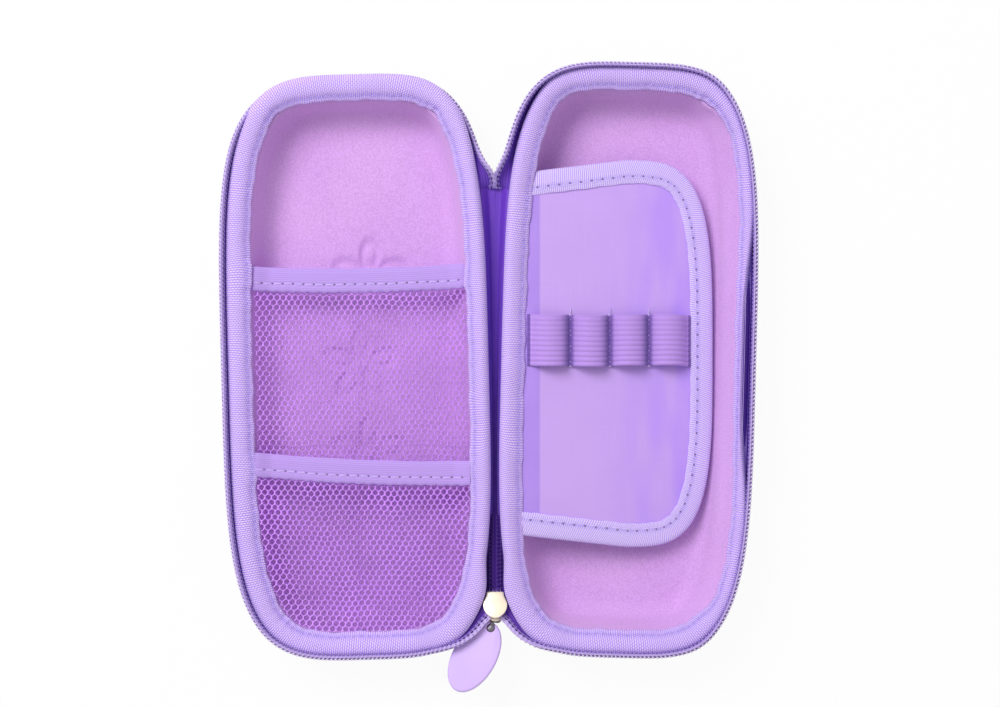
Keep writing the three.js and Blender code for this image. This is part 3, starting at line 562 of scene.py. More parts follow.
# closed: the places along the spine between which the chain's tape darkens, as painted shade deep between the
# two rims
def tapeFinish(name, closed=None):
    finish = newFinish(name, tapeLook["colour"], 0.85, Specular_IOR_Level=0.12)
    along, across, _ = clothPlace(finish)
    cord = ribs(across, tapeLook["cordPitch"])
    twill = ribs(along + calc("PINGPONG", across, tapeLook["cordPitch"]), tapeLook["twillPitch"])
    weave = (cord * 0.6 + 0.4) * (twill * 0.5 + 0.5)
    # the web's dark colours are painted shade of the crevice beside the band
    cloth = rampColour(weave, tapeLook["colour"], tapeLook["light"], 0.15, 0.95)
    unshaded = 1.0
    # painted shade: a darker copy of the tape where the chain lies between the rims
    if closed:
        y = newNode(finish.node_tree, "SeparateXYZ", 1, Vector=objectPlace(finish))
        low, high = [(end + origin["y"]) / 1000 for end in closed]
        unshaded = remap(y, low, high, gentle=False, To_Min=1.0, To_Max=0.0)
        cloth = over(cloth, scaled(tapeLook["colour"], 0.45), (1.0 - unshaded) * 0.6)
    # painted light: the part of the tape under and beside its coil is made paler
    for key in ("middle", "edge"):
        beyond = across > tapeLook[key + "At"]
        cloth = over(cloth, tapeLook[key], beyond * (twill * 0.4 + 0.5) * unshaded)
    # painted shadow: thin slanting lines between the coil's beads over the tape's pale edge
    lane = calc("PINGPONG", across * 0.5 + along, tapeLook["dotPitch"] / 2)
    groove = (lane < 0.17) * (across > tapeLook["beadShadowAt"])
    cloth = over(cloth, tapeLook["middle"], groove * 0.55 * unshaded)
    # painted shadow: dark dots at the tooth pitch, where the gaps between the coil's turns lie in shade
    beat = calc("PINGPONG", along, tapeLook["dotPitch"] / 2)
    for line in tapeLook["shadowDotLines"]:
        dot = (beat < 0.42) * (abs(across - line) < 0.34)
        cloth = over(cloth, scaled(tapeLook["colour"], 0.2), dot * 0.9)
    return dress(finish, cloth, weave, 0.15, 0.9)


# plain smooth nylon thread or filament, with a slight change of tone along it
def nylonFinish(name, colour, rough, toneScale=0.5):
    finish = newFinish(name, colour, rough, Specular_IOR_Level=0.5)
    place = clothPlace(finish)[2]
    tone = cloudy(noise(place, toneScale, 2.0), colour, 0.86, 1.1)
    return dress(finish, tone, noise(place, 6.0, 1.0), 0.05, 0.5)


# Shiny filament cloth: a fine plain weave with faint streaks both ways. Each zone is painted shade; it starts
# and is full at two places along the cloth, and has its most share, its graininess and its tone.
satin = {"streak": (2.2, 0.05, 1), "pick": (0.05, 2.2, 1), "cloud": (0.085, 0.022, 1), "cloudTurn": 28}


def satinFinish(name, colour, rough, weavePitch=0.34, shadeZones=()):
    finish = newFinish(name, colour, rough, Sheen_Weight=0.2, Sheen_Roughness=0.3, Specular_IOR_Level=0.45)
    tree = finish.node_tree
    along, across, place = clothPlace(finish)
    weave = ribs(along, weavePitch) * ribs(across, weavePitch)
    streaks = noise(newNode(tree, "Mapping", Vector=place, Scale=satin["streak"]), 1.0, 2.0, 0.5)
    picks = noise(newNode(tree, "Mapping", Vector=place, Scale=satin["pick"]), 1.0, 2.0)
    slub = (streaks + picks) * 0.5
    cloth = cloudy(weave, colour, 0.88, 1.06, 0.1, 0.9)
    cloth = over(cloth, scaled(colour, 0.78), calc("MULTIPLY", slub, 0.7, clamp=True))
    # painted shade, laid over the cloth in each zone
    for start, full, most, grain, tone in shadeZones:
        spin = (0.0, 0.0, math.radians(satin["cloudTurn"]))
        slanting = newNode(tree, "Mapping", Vector=place, Rotation=spin, Scale=satin["cloud"])
        cloud = rampColour(noise(slanting, 1.0, 1.5), (1 - grain,) * 3, (1, 1, 1), 0.38, 0.6)
        cloth = over(cloth, tone, remap(along, start, full) * cloud * most)
    return dress(finish, cloth, weave + slub * 0.8, 0.05, 0.6)


# elastic: lengthwise cords with small cross stitches between them
def elasticFinish(name, colour, cordPitch, crossPitch, deep, needle=None, seamShade=None):
    finish = newFinish(name, colour, 0.82, Sheen_Weight=0.3, Sheen_Roughness=0.5)
    along, across, _ = clothPlace(finish)
    row = calc("FLOOR", across / (cordPitch / 2))
    cross = ribs(row * (crossPitch / 2) + along, crossPitch)
    weave = (ribs(across, cordPitch) * 0.6 + 0.4) * (cross * 0.35 + 0.65)
    cloth = cloudy(weave, colour, 0.74, 1.1, 0.1, 0.95)
    # painted shade beside each seam, where the band pinches down, and on the side of each loop turned away
    # from the light
    if seamShade:  # darker beside each seam between two loops
        start, period, tone = seamShade
        turn = calc("FRACT", (along + (period * 2 - start)) / period)
        afterFirst = along > start + period / 2
        beforeLast = along < start + period * 3.5
        for low, high, most, within in ((0.15, 0.03, 0.8, afterFirst), (0.62, 0.93, 0.85, beforeLast)):
            cloth = over(cloth, tone, remap(turn, low, high) * most * within)
    if needle:  # the holes of its stitch line
        pitch, start, line = needle
        beat = calc("PINGPONG", along + (pitch / 2 - start + pitch * 20), pitch / 2)
        hole = (beat < 0.36) * (abs(across - line) < 0.34)
        cloth = over(cloth, scaled(colour, 0.2), hole * 0.85)
    return dress(finish, cloth, weave, deep, 0.9)


# painted or plated metal
def metalFinish(name, colour, rough, metallic, coat, smearScale):
    finish = newFinish(name, colour, rough, Metallic=metallic, Coat_Weight=coat, Coat_Roughness=0.12)
    place = objectPlace(finish)
    smear = noise(place, smearScale, 2.0)
    spread = remap(smear, 0.0, 1.0, gentle=False, To_Min=rough * 0.8, To_Max=rough * 1.3)
    feedNamed(finish.node_tree.nodes["Principled BSDF"], {"Roughness": spread})
    return dress(finish, cloudy(smear, colour, 0.93, 1.03, 0.35, 0.65), noise(place, 900, 2.0), 0.02, 0.4)


liningMaterial = jerseyFinish()
coverMaterial = coverFinish()
reliefMaterial = rubberFinish("reliefRubber", (0.70, 0.58, 0.90), 0.5, 0.04)
pullerMaterial = rubberFinish("pullerRubber", (0.69, 0.50, 0.965), 0.48, 0.02)
tapeMaterial = tapeFinish("zipTape")
# the chain's tape, with painted shade along its closed stretch
chainTapeShaded = tapeFinish("chainTapeShaded", (-97, -87))
coilMaterial = nylonFinish("coilNylon", (0.78, 0.68, 0.92), 0.4)
coilThreadMaterial = nylonFinish("coilThread", (0.40, 0.28, 0.76), 0.6)
# the coil's core cord is real; its darker colour is painted shade inside the coil's turns
cordMaterial = nylonFinish("coilCore", (0.34, 0.23, 0.62), 0.8)
# painted shade: a darker copy of the coil's nylon, for the closed chain in shade between the rims
shadedChainNylon = nylonFinish("chainNylonShaded", (0.13, 0.07, 0.34), 0.4)
stripMaterial = satinFinish("hingeNylon", (0.18, 0.05, 0.60), 0.5, 0.4)
netMaterial = nylonFinish("pocketNet", (0.70, 0.325, 1.0), 0.6, 0.06)
hemMaterial = elasticFinish("pocketHem", (0.50, 0.32, 0.82), 0.8, 0.5, 0.05, (4.0, 1.5, 3.2))
# painted shade on the page: patchy slanted shade of soft folds towards its free edge, and a painted shadow
# along its hinge side beside the case's band
satinMaterial = satinFinish("pageSatin", (0.68, 0.43, 1.0), 0.42, shadeZones=[
    (24, 66, 0.6, 0.75, (0.44, 0.24, 0.98)),
    (7.6, 6.7, 0.5, 0.1, (0.30, 0.15, 0.80)),
])
threadMaterial = nylonFinish("seamThread", (0.76, 0.62, 1.0), 0.6, 2.0)
loopThread = nylonFinish("loopThread", (0.62, 0.48, 0.86), 0.6, 2.0)
hemThread = nylonFinish("hemThread", (0.66, 0.52, 0.92), 0.6, 2.0)
bandThread = nylonFinish("bandThread", (0.50, 0.37, 0.90), 0.7, 2.0)
boardMaterial = rubberFinish("pageBoard", (0.80, 0.76, 0.70), 0.9, 0.05)
sliderMaterial = metalFinish("sliderPaint", (0.98, 0.86, 0.66), 0.32, 0.25, 0.5, 90)
linkMaterial = metalFinish("linkMetal", (0.14, 0.13, 0.15), 0.28, 1.0, 0.2, 300)
bindingMaterial = grosgrainFinish(
    "bindingGrosgrain", 9.6, 3.1, (0.31, 0.15, 0.88), (0.85, 0.66, 1.0), 0.6, 0.0, 0.2, 0.2)
pageBindingMaterial = grosgrainFinish(
    "pageBindingGrosgrain", 5.8, 4.3, (0.29, 0.15, 0.92), (0.84, 0.69, 1.0), 0.25, 0.3, 0.8, 0.13)
print("finishes made")

# the camera stands straight over the case, a little left of the picture's middle
camera = {
    "scalePerPixel": 0.3826, "spinePixel": 495, "middlePixel": 363,
    "axisPixel": (490, 350), "centrePixel": (500, 353.5), "height": 650, "sensor": 36, "pixels": 1000,
}
cameraData = bpy.data.cameras.new("photoCamera")
cameraData.lens = camera["sensor"] * camera["height"] / (camera["scalePerPixel"] * camera["pixels"])
cameraData.sensor_width = camera["sensor"]
cameraData.shift_x = (camera["centrePixel"][0] - camera["axisPixel"][0]) / camera["pixels"]
cameraData.shift_y = -(camera["centrePixel"][1] - camera["axisPixel"][1]) / camera["pixels"]
photoCamera = bpy.data.objects.new("photoCamera", cameraData)
photoCamera.location = toMetres([
    (camera["axisPixel"][0] - camera["spinePixel"]) * camera["scalePerPixel"],
    (camera["middlePixel"] - camera["axisPixel"][1]) * camera["scalePerPixel"],
    depth + camera["height"],
])
bpy.context.scene.collection.objects.link(photoCamera)
bpy.context.scene.camera = photoCamera

# The front cover's relief: a long oval panel with three open flowers
relief = {
    "panel": (48, 132), "recess": 1.5, "plate": 0.6, "fit": 0.3, "petalRise": 0.5, "crease": 0.16,
    "creaseHalf": 0.45, "petal": (7.6, 13), "petalPlace": 8.6, "petals": 5, "pitch": 35, "flowers": 3,
    "setOff": 1.6,
}
panelMiddle = np.array([-shape["spineHalfGap"] - shape["frontWidth"] / 2, -shape["shift"]])


def panelRing(inset, turn, z):
    wide, tall = [side / 2 - inset for side in relief["panel"]]
    return ovalRing(panelMiddle, wide, tall, turn, z)


def petalPlaces():
    for flower in range(relief["flowers"]):
        side = -1 if flower % 2 else 1
        place = (flower - (relief["flowers"] - 1) / 2) * relief["pitch"]
        for n in range(relief["petals"]):
            yield panelMiddle + (side * relief["setOff"], place), side * n / relief["petals"] * 2 * math.pi


# how far from a petal's middle a place is, as a share of the petal's own outline
def petalShare(x, y, middle, turn):
    dx, dy = x - middle[0], y - middle[1]
    u = math.cos(turn) * dx + math.sin(turn) * dy
    v = -math.sin(turn) * dx + math.cos(turn) * dy - relief["petalPlace"]
    return np.hypot(u / (relief["petal"][0] / 2), v / (relief["petal"][1] / 2))


# The moulded shells, with the front one let in for the relief panel
shellLook = {
    "rings": 480, "outerTop": 2.4, "innerTop": 3.2, "lip": (2.2, 3.6), "lipDown": (1.0, 2.0),
    "overlap": 0.6, "roundMore": 0.9, "wallFrom": 9, "wallTo": 20,
}


# a profile inside a half, whose top goes out with its band where the band is slimmer
def insideRows(rim, stations, profile):
    rise = smooth(shellLook["wallFrom"], shellLook["wallTo"], profile[:, 1])
    return rimRows(rim, stations, profile[:, 0] - np.outer(slimming(rim, stations), rise), profile[:, 1])


def shellPiece(rim):
    stations = roundRim(rim, shellLook["rings"])
    bed = shape["shellFloor"] - shellLook["overlap"]
    trayRadius = shape["trayRadius"] + shellLook["roundMore"]
    outside = wallProfile(shape["shellOuter"], depth - shellLook["outerTop"], 0, shape["baseRadius"], 16)
    inside = wallProfile(shape["rimWall"], depth - shellLook["innerTop"], bed, trayRadius, 8)
    inner = insideRows(rim, stations, inside)
    top = rimRows(rim, stations, shellLook["lip"], depth - np.array(shellLook["lipDown"]))
    outer = rimRows(rim, stations, outside[:, 0], outside[:, 1])
    rings = np.concatenate([inner[:, ::-1], top[:, ::-1], outer], 1).transpose(1, 0, 2)
    last = rings[-1]
    if rim is front:
        recess = relief["recess"]
        offset = (last[:, :2] - panelMiddle) / relief["panel"]
        turn = np.arctan2(offset[:, 1], offset[:, 0])
        steps = ((-0.5, 0), (-0.15, 0.06), (0, 0.35), (0.02, recess - 0.2), (0.3, recess))
        lips = [panelRing(inset, turn, z) for inset, z in steps]
        between = [last + (lips[0] - last) * share for share in (0.25, 0.5, 0.75)]
        rings = np.concatenate([rings, between + lips, towards(lips[-1], (*panelMiddle, recess), 3)])
    else:
        rings = np.concatenate([rings, towards(last, (*last[:, :2].mean(0), 0), 6)])
    start = towards(rings[0], (*rings[0][:, :2].mean(0), bed), 3)
    makePiece(
        f"{rim['name']}_shell_cover", ringPart(np.concatenate([start[::-1], rings])), coverMaterial,
        rim["name"], [f"{rim['name']}_shell"],
    )


# The linings: drafted walls, a rounded foot and a floor that shows the relief's hollows from behind
liningLook = {
    "top": 3.9, "bond": 0.5, "dent": 1.25, "dentAt": 0.78, "dentHalf": 0.3, "hollow": 0.3, "floorRings": 62,
    "sag": 0.125, "thinnest": 0.25,
}


def liningPiece(rim):
    stations = roundRim(rim, shellLook["rings"])
    top, bed = depth - liningLook["top"], shape["shellFloor"] - liningLook["bond"]
    trayRadius = shape["trayRadius"] + shellLook["roundMore"]
    face = wallProfile(shape["liningInner"], top, shape["liningFloor"], shape["trayRadius"], 14)
    behind = wallProfile(shape["liningOuter"] + 0.1, top, bed, trayRadius, 6)
    walls = insideRows(rim, stations, face).transpose(1, 0, 2)
    backs = insideRows(rim, stations, behind).transpose(1, 0, 2)
    middle = walls[-1][:, :2].mean(0)
    floor = towards(walls[-1], (*middle, shape["liningFloor"]), liningLook["floorRings"], 0.9)
    x, y, z = floor[..., 0], floor[..., 1], floor[..., 2]
    inner = smooth(0, 0.3, np.linspace(0, 1, len(floor)))[:, None]
    z += liningLook["sag"] * (ripple(x / 14, 1.3) + ripple(y / 19, 2.1)) * inner
    if rim is front:
        for petalMiddle, turn in petalPlaces():
            share = petalShare(x, y, petalMiddle, turn)
            outline = hill(share, liningLook["dentAt"], liningLook["dentHalf"]) * smooth(1.5, 0.9, share)
            z -= liningLook["dent"] * outline + liningLook["hollow"] * smooth(0.9, 0.6, share)
    floor[..., 2] = np.maximum(z, shape["shellFloor"] - liningLook["thinnest"])
    start = towards(backs[-1], (*middle, bed), 3)
    makePiece(
        f"{rim['name']}_lining_jersey", ringPart(np.concatenate([start[::-1], backs[::-1], walls, floor])),
        liningMaterial, rim["name"], [f"{rim['name']}_lining"],
    )


def reliefPiece():
    bed = relief["recess"]
    face = bed - relief["plate"]
    turn = fullTurn(120)
    steps = ((0.6, bed - 0.02), (0.0, bed - 0.04), (0.0, face + 0.18), (0.2, face))
    rings = np.stack([panelRing(relief["fit"] + inset, turn, z) for inset, z in steps])
    start = towards(rings[0], (*panelMiddle, bed - 0.02), 2)
    end = towards(rings[-1], (*panelMiddle, face), 4)
    parts = [ringPart(np.concatenate([start[::-1], rings, end]))]
    turn = fullTurn(36)
    for middle, spin in petalPlaces():
        rings = []
        for share in (1.0, 0.97, 0.9, 0.78, 0.6, 0.4, 0.2, 0.02):
            u = relief["petal"][0] / 2 * share * np.cos(turn)
            v = relief["petalPlace"] + relief["petal"][1] / 2 * share * np.sin(turn)
            crease = relief["crease"] * hill(u, 0, relief["creaseHalf"]) * smooth(0.0, 0.5, 1 - share)
            root = 0.1 if share == 1.0 else 0  # its outline starts inside the plate
            z = face - relief["petalRise"] * (1 - share**4) ** 0.6 + crease + root
            x = middle[0] + math.cos(spin) * u - math.sin(spin) * v
            y = middle[1] + math.sin(spin) * u + math.cos(spin) * v
            rings.append(np.stack([x, y, z], -1))
        parts.append(ringPart(rings, capped=True))
    makePiece("cover_relief_rubber", parts, reliefMaterial, "front", ["cover_relief"], 40)


shellPiece(front)
shellPiece(back)
liningPiece(front)
liningPiece(back)
reliefPiece()
print("shells, linings and relief made")

# Edge bindings: the band's middle line over the rim, from the seam outside to the free edge inside
binding = {
    "stations": 900, "thickness": 0.7, "gatherPitch": 4.4, "gatherHeight": 0.42, "edgeWave": 0.36,
    "hemBulge": 0.9, "hemRise": 0.25, "stitchAt": 9.6, "stitchDip": 0.22, "stitchPitch": 3.1,
    "overlapPlace": 0.8, "overlapRise": 0.35, "spineTuck": 0.65, "cornerTuck": 1.0, "spineWide": 1.3,
    "roll": 2.55, "reach": 7.5,
}
upperHem = {"place": 32.4, "fall": -1.4, "sag": 1.2, "level": 16.5}
lowerHem = {"place": -39.0, "fall": 3.4, "sag": 1.3, "level": 18.4}
hemWidth = 9.4


# inward distances from the rim, and heights over it
def bandLine():
    roll = binding["roll"]
    turns = np.linspace(0, math.pi / 2, 7)
    leg = [(0.32, -4.4), (0.0, -3.85), (-0.2, -3.35)]
    bend = np.stack([roll * (1 - np.cos(turns)) - 0.3, roll * (np.sin(turns) - 1) - 0.35], -1)
    top = [
        (3.4, -0.5), (4.3, -0.98), (5.2, -1.55), (5.9, -2.05),
        (6.5, -2.45), (7.0, -2.75), (7.35, -3.0), (binding["reach"], -3.3),
    ]
    return np.vstack([leg, bend, top])


def ribbonLoop(line, thickness):
    offset = turnedLeft(unit(np.gradient(line, axis=0))) * thickness / 2
    return np.vstack([line + offset, (line - offset)[::-1]])


# zero where a side runs along X or Y, and more in a corner
def cornering(normal):
    return 1 - np.abs(normal).max(-1)


def bindingPiece(rim):
    stations = roundRim(rim, binding["stations"])
    line = bandLine()
    reach, level = ribbonLoop(line, binding["thickness"]).T
    cloth = thereAndBack(lengthAlong(line))
    across = cloth[:-1]
    place, normal = rimAt(rim, stations)
    straight = np.abs(normal[:, 0]) > 0.9
    spineSide = smooth(-0.3, -0.9, normal[:, 0])
    topCorner = smooth(0.08, 0.27, cornering(normal)) * (normal[:, 1] < 0)
    free = smooth(0.5, 1.0, across / across.max())
    swollen = np.outer(swelling(rim, stations), smooth(5.0, 1.0, reach) * smooth(-4.2, -2.6, level))
    edgeWave = binding["edgeWave"] * ripple(stations / 2.6, 2.9 if rim is front else 4.4)
    gather = ripple(stations * 2 * np.pi / binding["gatherPitch"], 0.7)
    gather = binding["gatherHeight"] * gather * (0.35 + 0.9 * smooth(0.02, 0.22, cornering(normal)))
    inward = reach - swollen + np.outer(edgeWave, free)
    inward -= np.outer(slimming(rim, stations), np.clip(reach / binding["reach"], 0, 1))
    inward += np.outer(spineSide, smooth(4.5, 0.5, reach) * binding["spineTuck"])
    inward -= np.outer(topCorner, smooth(2.0, 7.0, reach) * binding["cornerTuck"])
    height = depth + level + np.outer(gather, free)
    height -= hill(across, binding["stitchAt"], 0.5) * binding["stitchDip"]
    height += 0.33 * np.maximum(swollen, 0) * smooth(-0.9, -2.9, level)
    if rim is front:  # it stands out a little where the hems are sewn in
        ends = [hem["place"] - fall for hem in (upperHem, lowerHem) for fall in (0, hem["fall"])]
        bulge = sum(hill(place[:, 1], end, 4.6, 4) for end in ends) * straight * 0.5
        inward += np.outer(bulge, free * binding["hemBulge"])
        height += np.outer(bulge, free * binding["hemRise"])
    else:  # it is wider along the spine down to near the slider, and its own ends overlap halfway
        wider = spineSide * smooth(-88, -45, place[:, 1])
        inward += np.outer(wider, smooth(2, 7, reach) * binding["spineWide"])
        past = binding["overlapPlace"] - place[:, 1]
        step = smooth(-0.4, 0.4, past) * smooth(14, 4, past) * (normal[:, 0] < -0.9)
        height += step[:, None] * binding["overlapRise"]
    rows = rimRows(rim, stations, inward, height)
    band = gridPart(rows, np.append(stations, rim["total"]), cloth, closedAlong=True, closedRound=True)
    makePiece(
        f"{rim['name']}_binding_band", band, bindingMaterial,
        rim["name"], [f"{rim['name']}_binding"],
    )
    return rows


# the stitches that hold the band, pressed into it near its free edge
def bindingStitches(rim, rows):
    count = int(rim["total"] / binding["stitchPitch"])
    column = int(np.argmin(np.abs(lengthAlong(bandLine()) - binding["stitchAt"])))
    track = rows[:, column]
    index = np.linspace(0, len(track), count, endpoint=False).astype(int)
    along = track[(index + 2) % len(track)] - track[index - 2]
    up = np.cross(along, rows[index, column + 1] - rows[index, column - 1])
    up *= np.sign(up[:, 2:])
    parts = stitchParts(track[index], along, up, 2.2, 0.16, 0.04)
    makePiece(f"{rim['name']}_binding_stitches", parts, bandThread, rim["name"], ())


for rim in (front, back):
    bindingStitches(rim, bindingPiece(rim))
print("bindings made")

# The zip: woven tapes that stand up off the seam, and their coils
zipLook = {
    "seam": (-0.25, 19.2), "reach": 7, "foot": 1.1, "tapeThickness": 0.45, "slot": 1.2, "bow": 0.5,
    "longStand": 64, "endStand": 78, "backStand": 82, "standOver": 32, "foldDegrees": -80,
    "toothPitch": 1.56, "stepsPerTooth": 10, "coilWidth": 2.5, "coilDeep": 1.5, "coilSet": 0.35,
    "coilGap": 0.1, "cover": 0.62, "wire": 0.36, "cord": 0.62, "chainGap": 0.4,
    "sliderPlace": -91.6, "sliderLength": 10.4, "stripTop": 66.5, "stripBottom": -58, "endGap": 0.4,
    "blendTop": -86, "blendBottom": -104,
}
web = zipLook["reach"] - zipLook["foot"] - zipLook["coilWidth"]
lyingFlat = zipLook["foot"] + zipLook["coilWidth"] + 2 * zipLook["coilGap"] + zipLook["chainGap"] / 2
seamLevel = zipLook["seam"][1]


def outwards(angle):
    return np.stack([-np.cos(angle), np.sin(angle)], -1)


def upwards(angle):
    return np.stack([np.sin(angle), np.cos(angle)], -1)


# one inward distance and height at each station
def rimSpots(rim, stations, spots):
    return rimRows(rim, stations, spots[:, :1], spots[:, 1:])[:, 0]


# the distance from the seam to the plane in the middle of the spine
def toSpine(rim, stations):
    place, normal = rimAt(rim, stations)
    return -place[:, 0] / np.clip(-normal[:, 0], 0.6, 1) + zipLook["seam"][0]


def tapeAngles(rim, stations):
    _, normal = rimAt(rim, stations)
    since = stations - rimAtPlace(rim, zipLook["stripTop"])
    sliderEnd = zipLook["sliderPlace"] + zipLook["sliderLength"] / 2
    before = rim["total"] + rimAtPlace(rim, sliderEnd) - stations
    quick = 1 - (1 - np.clip(since / zipLook["standOver"], 0, 1)) ** 4.5
    share = np.minimum(quick, smooth(0, zipLook["standOver"], before))
    hang = -np.arccos(np.clip((toSpine(rim, stations) - lyingFlat) / web, -1, 1))
    farSide = (rim is back) * smooth(0.3, 0.9, normal[:, 0])
    side = zipLook["longStand"] + (zipLook["backStand"] - zipLook["longStand"]) * farSide
    stand = np.radians(side + (zipLook["endStand"] - side) * normal[:, 1] ** 2)
    return hang + (stand - hang) * share, stand * share, share


# how far the front half's tape is folded down behind its band, along the top
def tapeFold(rim, stations):
    if rim is back:
        return np.zeros(len(stations))
    _, normal = rimAt(rim, stations)
    since = stations - rimAtPlace(rim, zipLook["stripTop"])
    spineEnd = smooth(5, 19, since) * (normal[:, 1] < 0)
    return np.where(normal[:, 0] < 0, spineEnd, smooth(-0.1, -0.95, normal[:, 1]))


# The tape's middle line at each station, and the middle of its coil. Its first three points are sewn under
# the band, or laid over the band's side where that is pulled in.
def tapeLines(rim, stations):
    webAngle, footAngle, share = tapeAngles(rim, stations)
    pulled = pulledIn(rim, stations)[:, None]
    seam = np.array(zipLook["seam"])
    fold = tapeFold(rim, stations)[:, None]
    lean = outwards(webAngle) * (1 - fold) + outwards(math.radians(zipLook["foldDegrees"])) * fold
    webEnd = seam + lean * (web - 0.3 * pulled)
    spare = np.clip(toSpine(rim, stations) - lyingFlat - web, 0, 2.8) * smooth(0.3, 0, share)
    out, up = outwards(footAngle), upwards(footAngle)
    footEnd = webEnd + out * (zipLook["foot"] + spare)[:, None]
    sewn = np.array([(zipLook["slot"], 1.6), (zipLook["slot"], 0.3), (0.5, 0.0)])
    laid = np.array([(2.75, 3.75), (2.1, 3.05), (0.9, 1.75)])
    share = share[:, None]
    points = [(0, seamLevel) + a * (1 - pulled) + b * pulled for a, b in zip(sewn, laid)]
    for t in (0.0, 0.25, 0.5, 0.75, 1.0):
        bow = zipLook["bow"] * math.sin(math.pi * t) * share
        points.append(seam + (webEnd - seam) * t - upwards(webAngle) * bow)
    edge = zipLook["coilWidth"] + 0.44 - 0.3 * share
    points.append(footEnd)
    for reach, rise in ((0.5, 0.8), (zipLook["coilWidth"] / 2, 1.0), (edge, 0.95)):
        points.append(footEnd + out * reach + up * rise * zipLook["cover"])
    coil = footEnd + out * (zipLook["coilGap"] + zipLook["coilWidth"] / 2) - up * zipLook["coilSet"]
    return np.stack(points, 1), coil, footAngle


def tapePart(rim, start, end):
    stations = np.linspace(start, end, max(int((end - start) / 1.1), 8))
    lines = tapeLines(rim, stations)[0]
    thinned = np.array([1.0] * 9 + [0.9, 0.9, 0.8])[:, None]  # towards its free edge
    offset = turnedLeft(unit(np.gradient(lines, axis=1))) * thinned * zipLook["tapeThickness"] / 2
    loop = np.concatenate([lines + offset, (lines - offset)[:, ::-1]], 1)
    across = lengthAlong(lines[3 * len(lines) // 4])
    rows = rimRows(rim, stations, loop[..., 0], loop[..., 1])
    return gridPart(rows, stations, thereAndBack(across), closedRound=True, capped=True)


# one filament wound into teeth, with a core cord inside it
def coilParts(rim, start, end):
    count = int((end - start) / zipLook["toothPitch"] * zipLook["stepsPerTooth"])
    stations = np.linspace(start, end, count)
    _, coil, foot = tapeLines(rim, stations)
    turn = (stations / zipLook["toothPitch"] * 2 * np.pi)[:, None]
    wide, tall = [size / 2 - zipLook["wire"] for size in (zipLook["coilWidth"], zipLook["coilDeep"])]
    turning = outwards(foot) * wide * np.cos(turn) + upwards(foot) * tall * np.sin(turn)
    path, centre = rimSpots(rim, stations, coil + turning), rimSpots(rim, stations, coil)
    wound = tubePart(path, zipLook["wire"], path - centre, 5)
    return wound, tubePart(centre[::6], zipLook["cord"], (0, 0, 1), 5, False, 0.8)


# two rows of thread that hold the coil to its tape
def coilThread(rim, start, end):
    stations = np.arange(start, end, zipLook["toothPitch"])
    _, coil, foot = tapeLines(rim, stations)
    up = upwards(foot)
    parts = []
    for offset in (-0.6, 0.8):
        spot = coil + outwards(foot) * offset + up * (zipLook["coilSet"] + zipLook["cover"] + 0.2)
        middle = rimSpots(rim, stations, spot)
        lift = rimSpots(rim, stations, spot + up) - middle
        parts += stitchParts(middle, np.gradient(middle, axis=0), lift, 1.0, 0.15, 0.08, 5)
    return parts


# each half's zip: round the rim, where the two sides part, and closed along the spine
def zipPieces(rim):
    name, total = rim["name"], rim["total"]
    bounds = [
        rimAtPlace(rim, zipLook["stripTop"] + zipLook["endGap"]),
        total + rimAtPlace(rim, zipLook["blendBottom"]),
        total + rimAtPlace(rim, zipLook["blendTop"]),
        total + rimAtPlace(rim, zipLook["stripBottom"] - zipLook["endGap"]),
    ]
    for stretch, start, end in zip(("rim", "parting", "closed"), bounds, bounds[1:]):
        tape, teeth, sewing = chainTapeShaded, coilMaterial, coilThreadMaterial
        if stretch == "rim":
            tape = tapeMaterial
        # painted shade: the closed chain's teeth and threads take the darker copy of the coil's nylon
        if stretch == "closed":
            teeth = sewing = shadedChainNylon
        wound, cord = coilParts(rim, start, end)
        woven = tapePart(rim, start, end)
        pieces = [
            makePiece(f"{name}_tape_{stretch}", woven, tape, None, [f"{name}_zip_tape"], 50),
            makePiece(f"{name}_coil_{stretch}", wound, teeth, None, [f"{name}_zip_coil"]),
            makePiece(f"{name}_coil_cord_{stretch}", cord, cordMaterial),
            makePiece(f"{name}_coil_thread_{stretch}", coilThread(rim, start, end), sewing),
        ]
        for piece in pieces:
            if stretch == "rim":
                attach(piece, name)
            elif stretch == "closed":
                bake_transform(piece)
            else:
                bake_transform(piece)


zipPieces(front)
zipPieces(back)
print("zip made")

# The hinge strip: a trough of nylon cloth, in two halves, one along each side
hinge = {
    "full": 0.744, "stations": 90, "steps": 12, "thickness": 0.45, "pleat": 0.25, "tuck": 1.1,
    "middleGap": 0.2, "rise": (1.6, 0.3, -0.35), "clothPitch": 0.8,
}


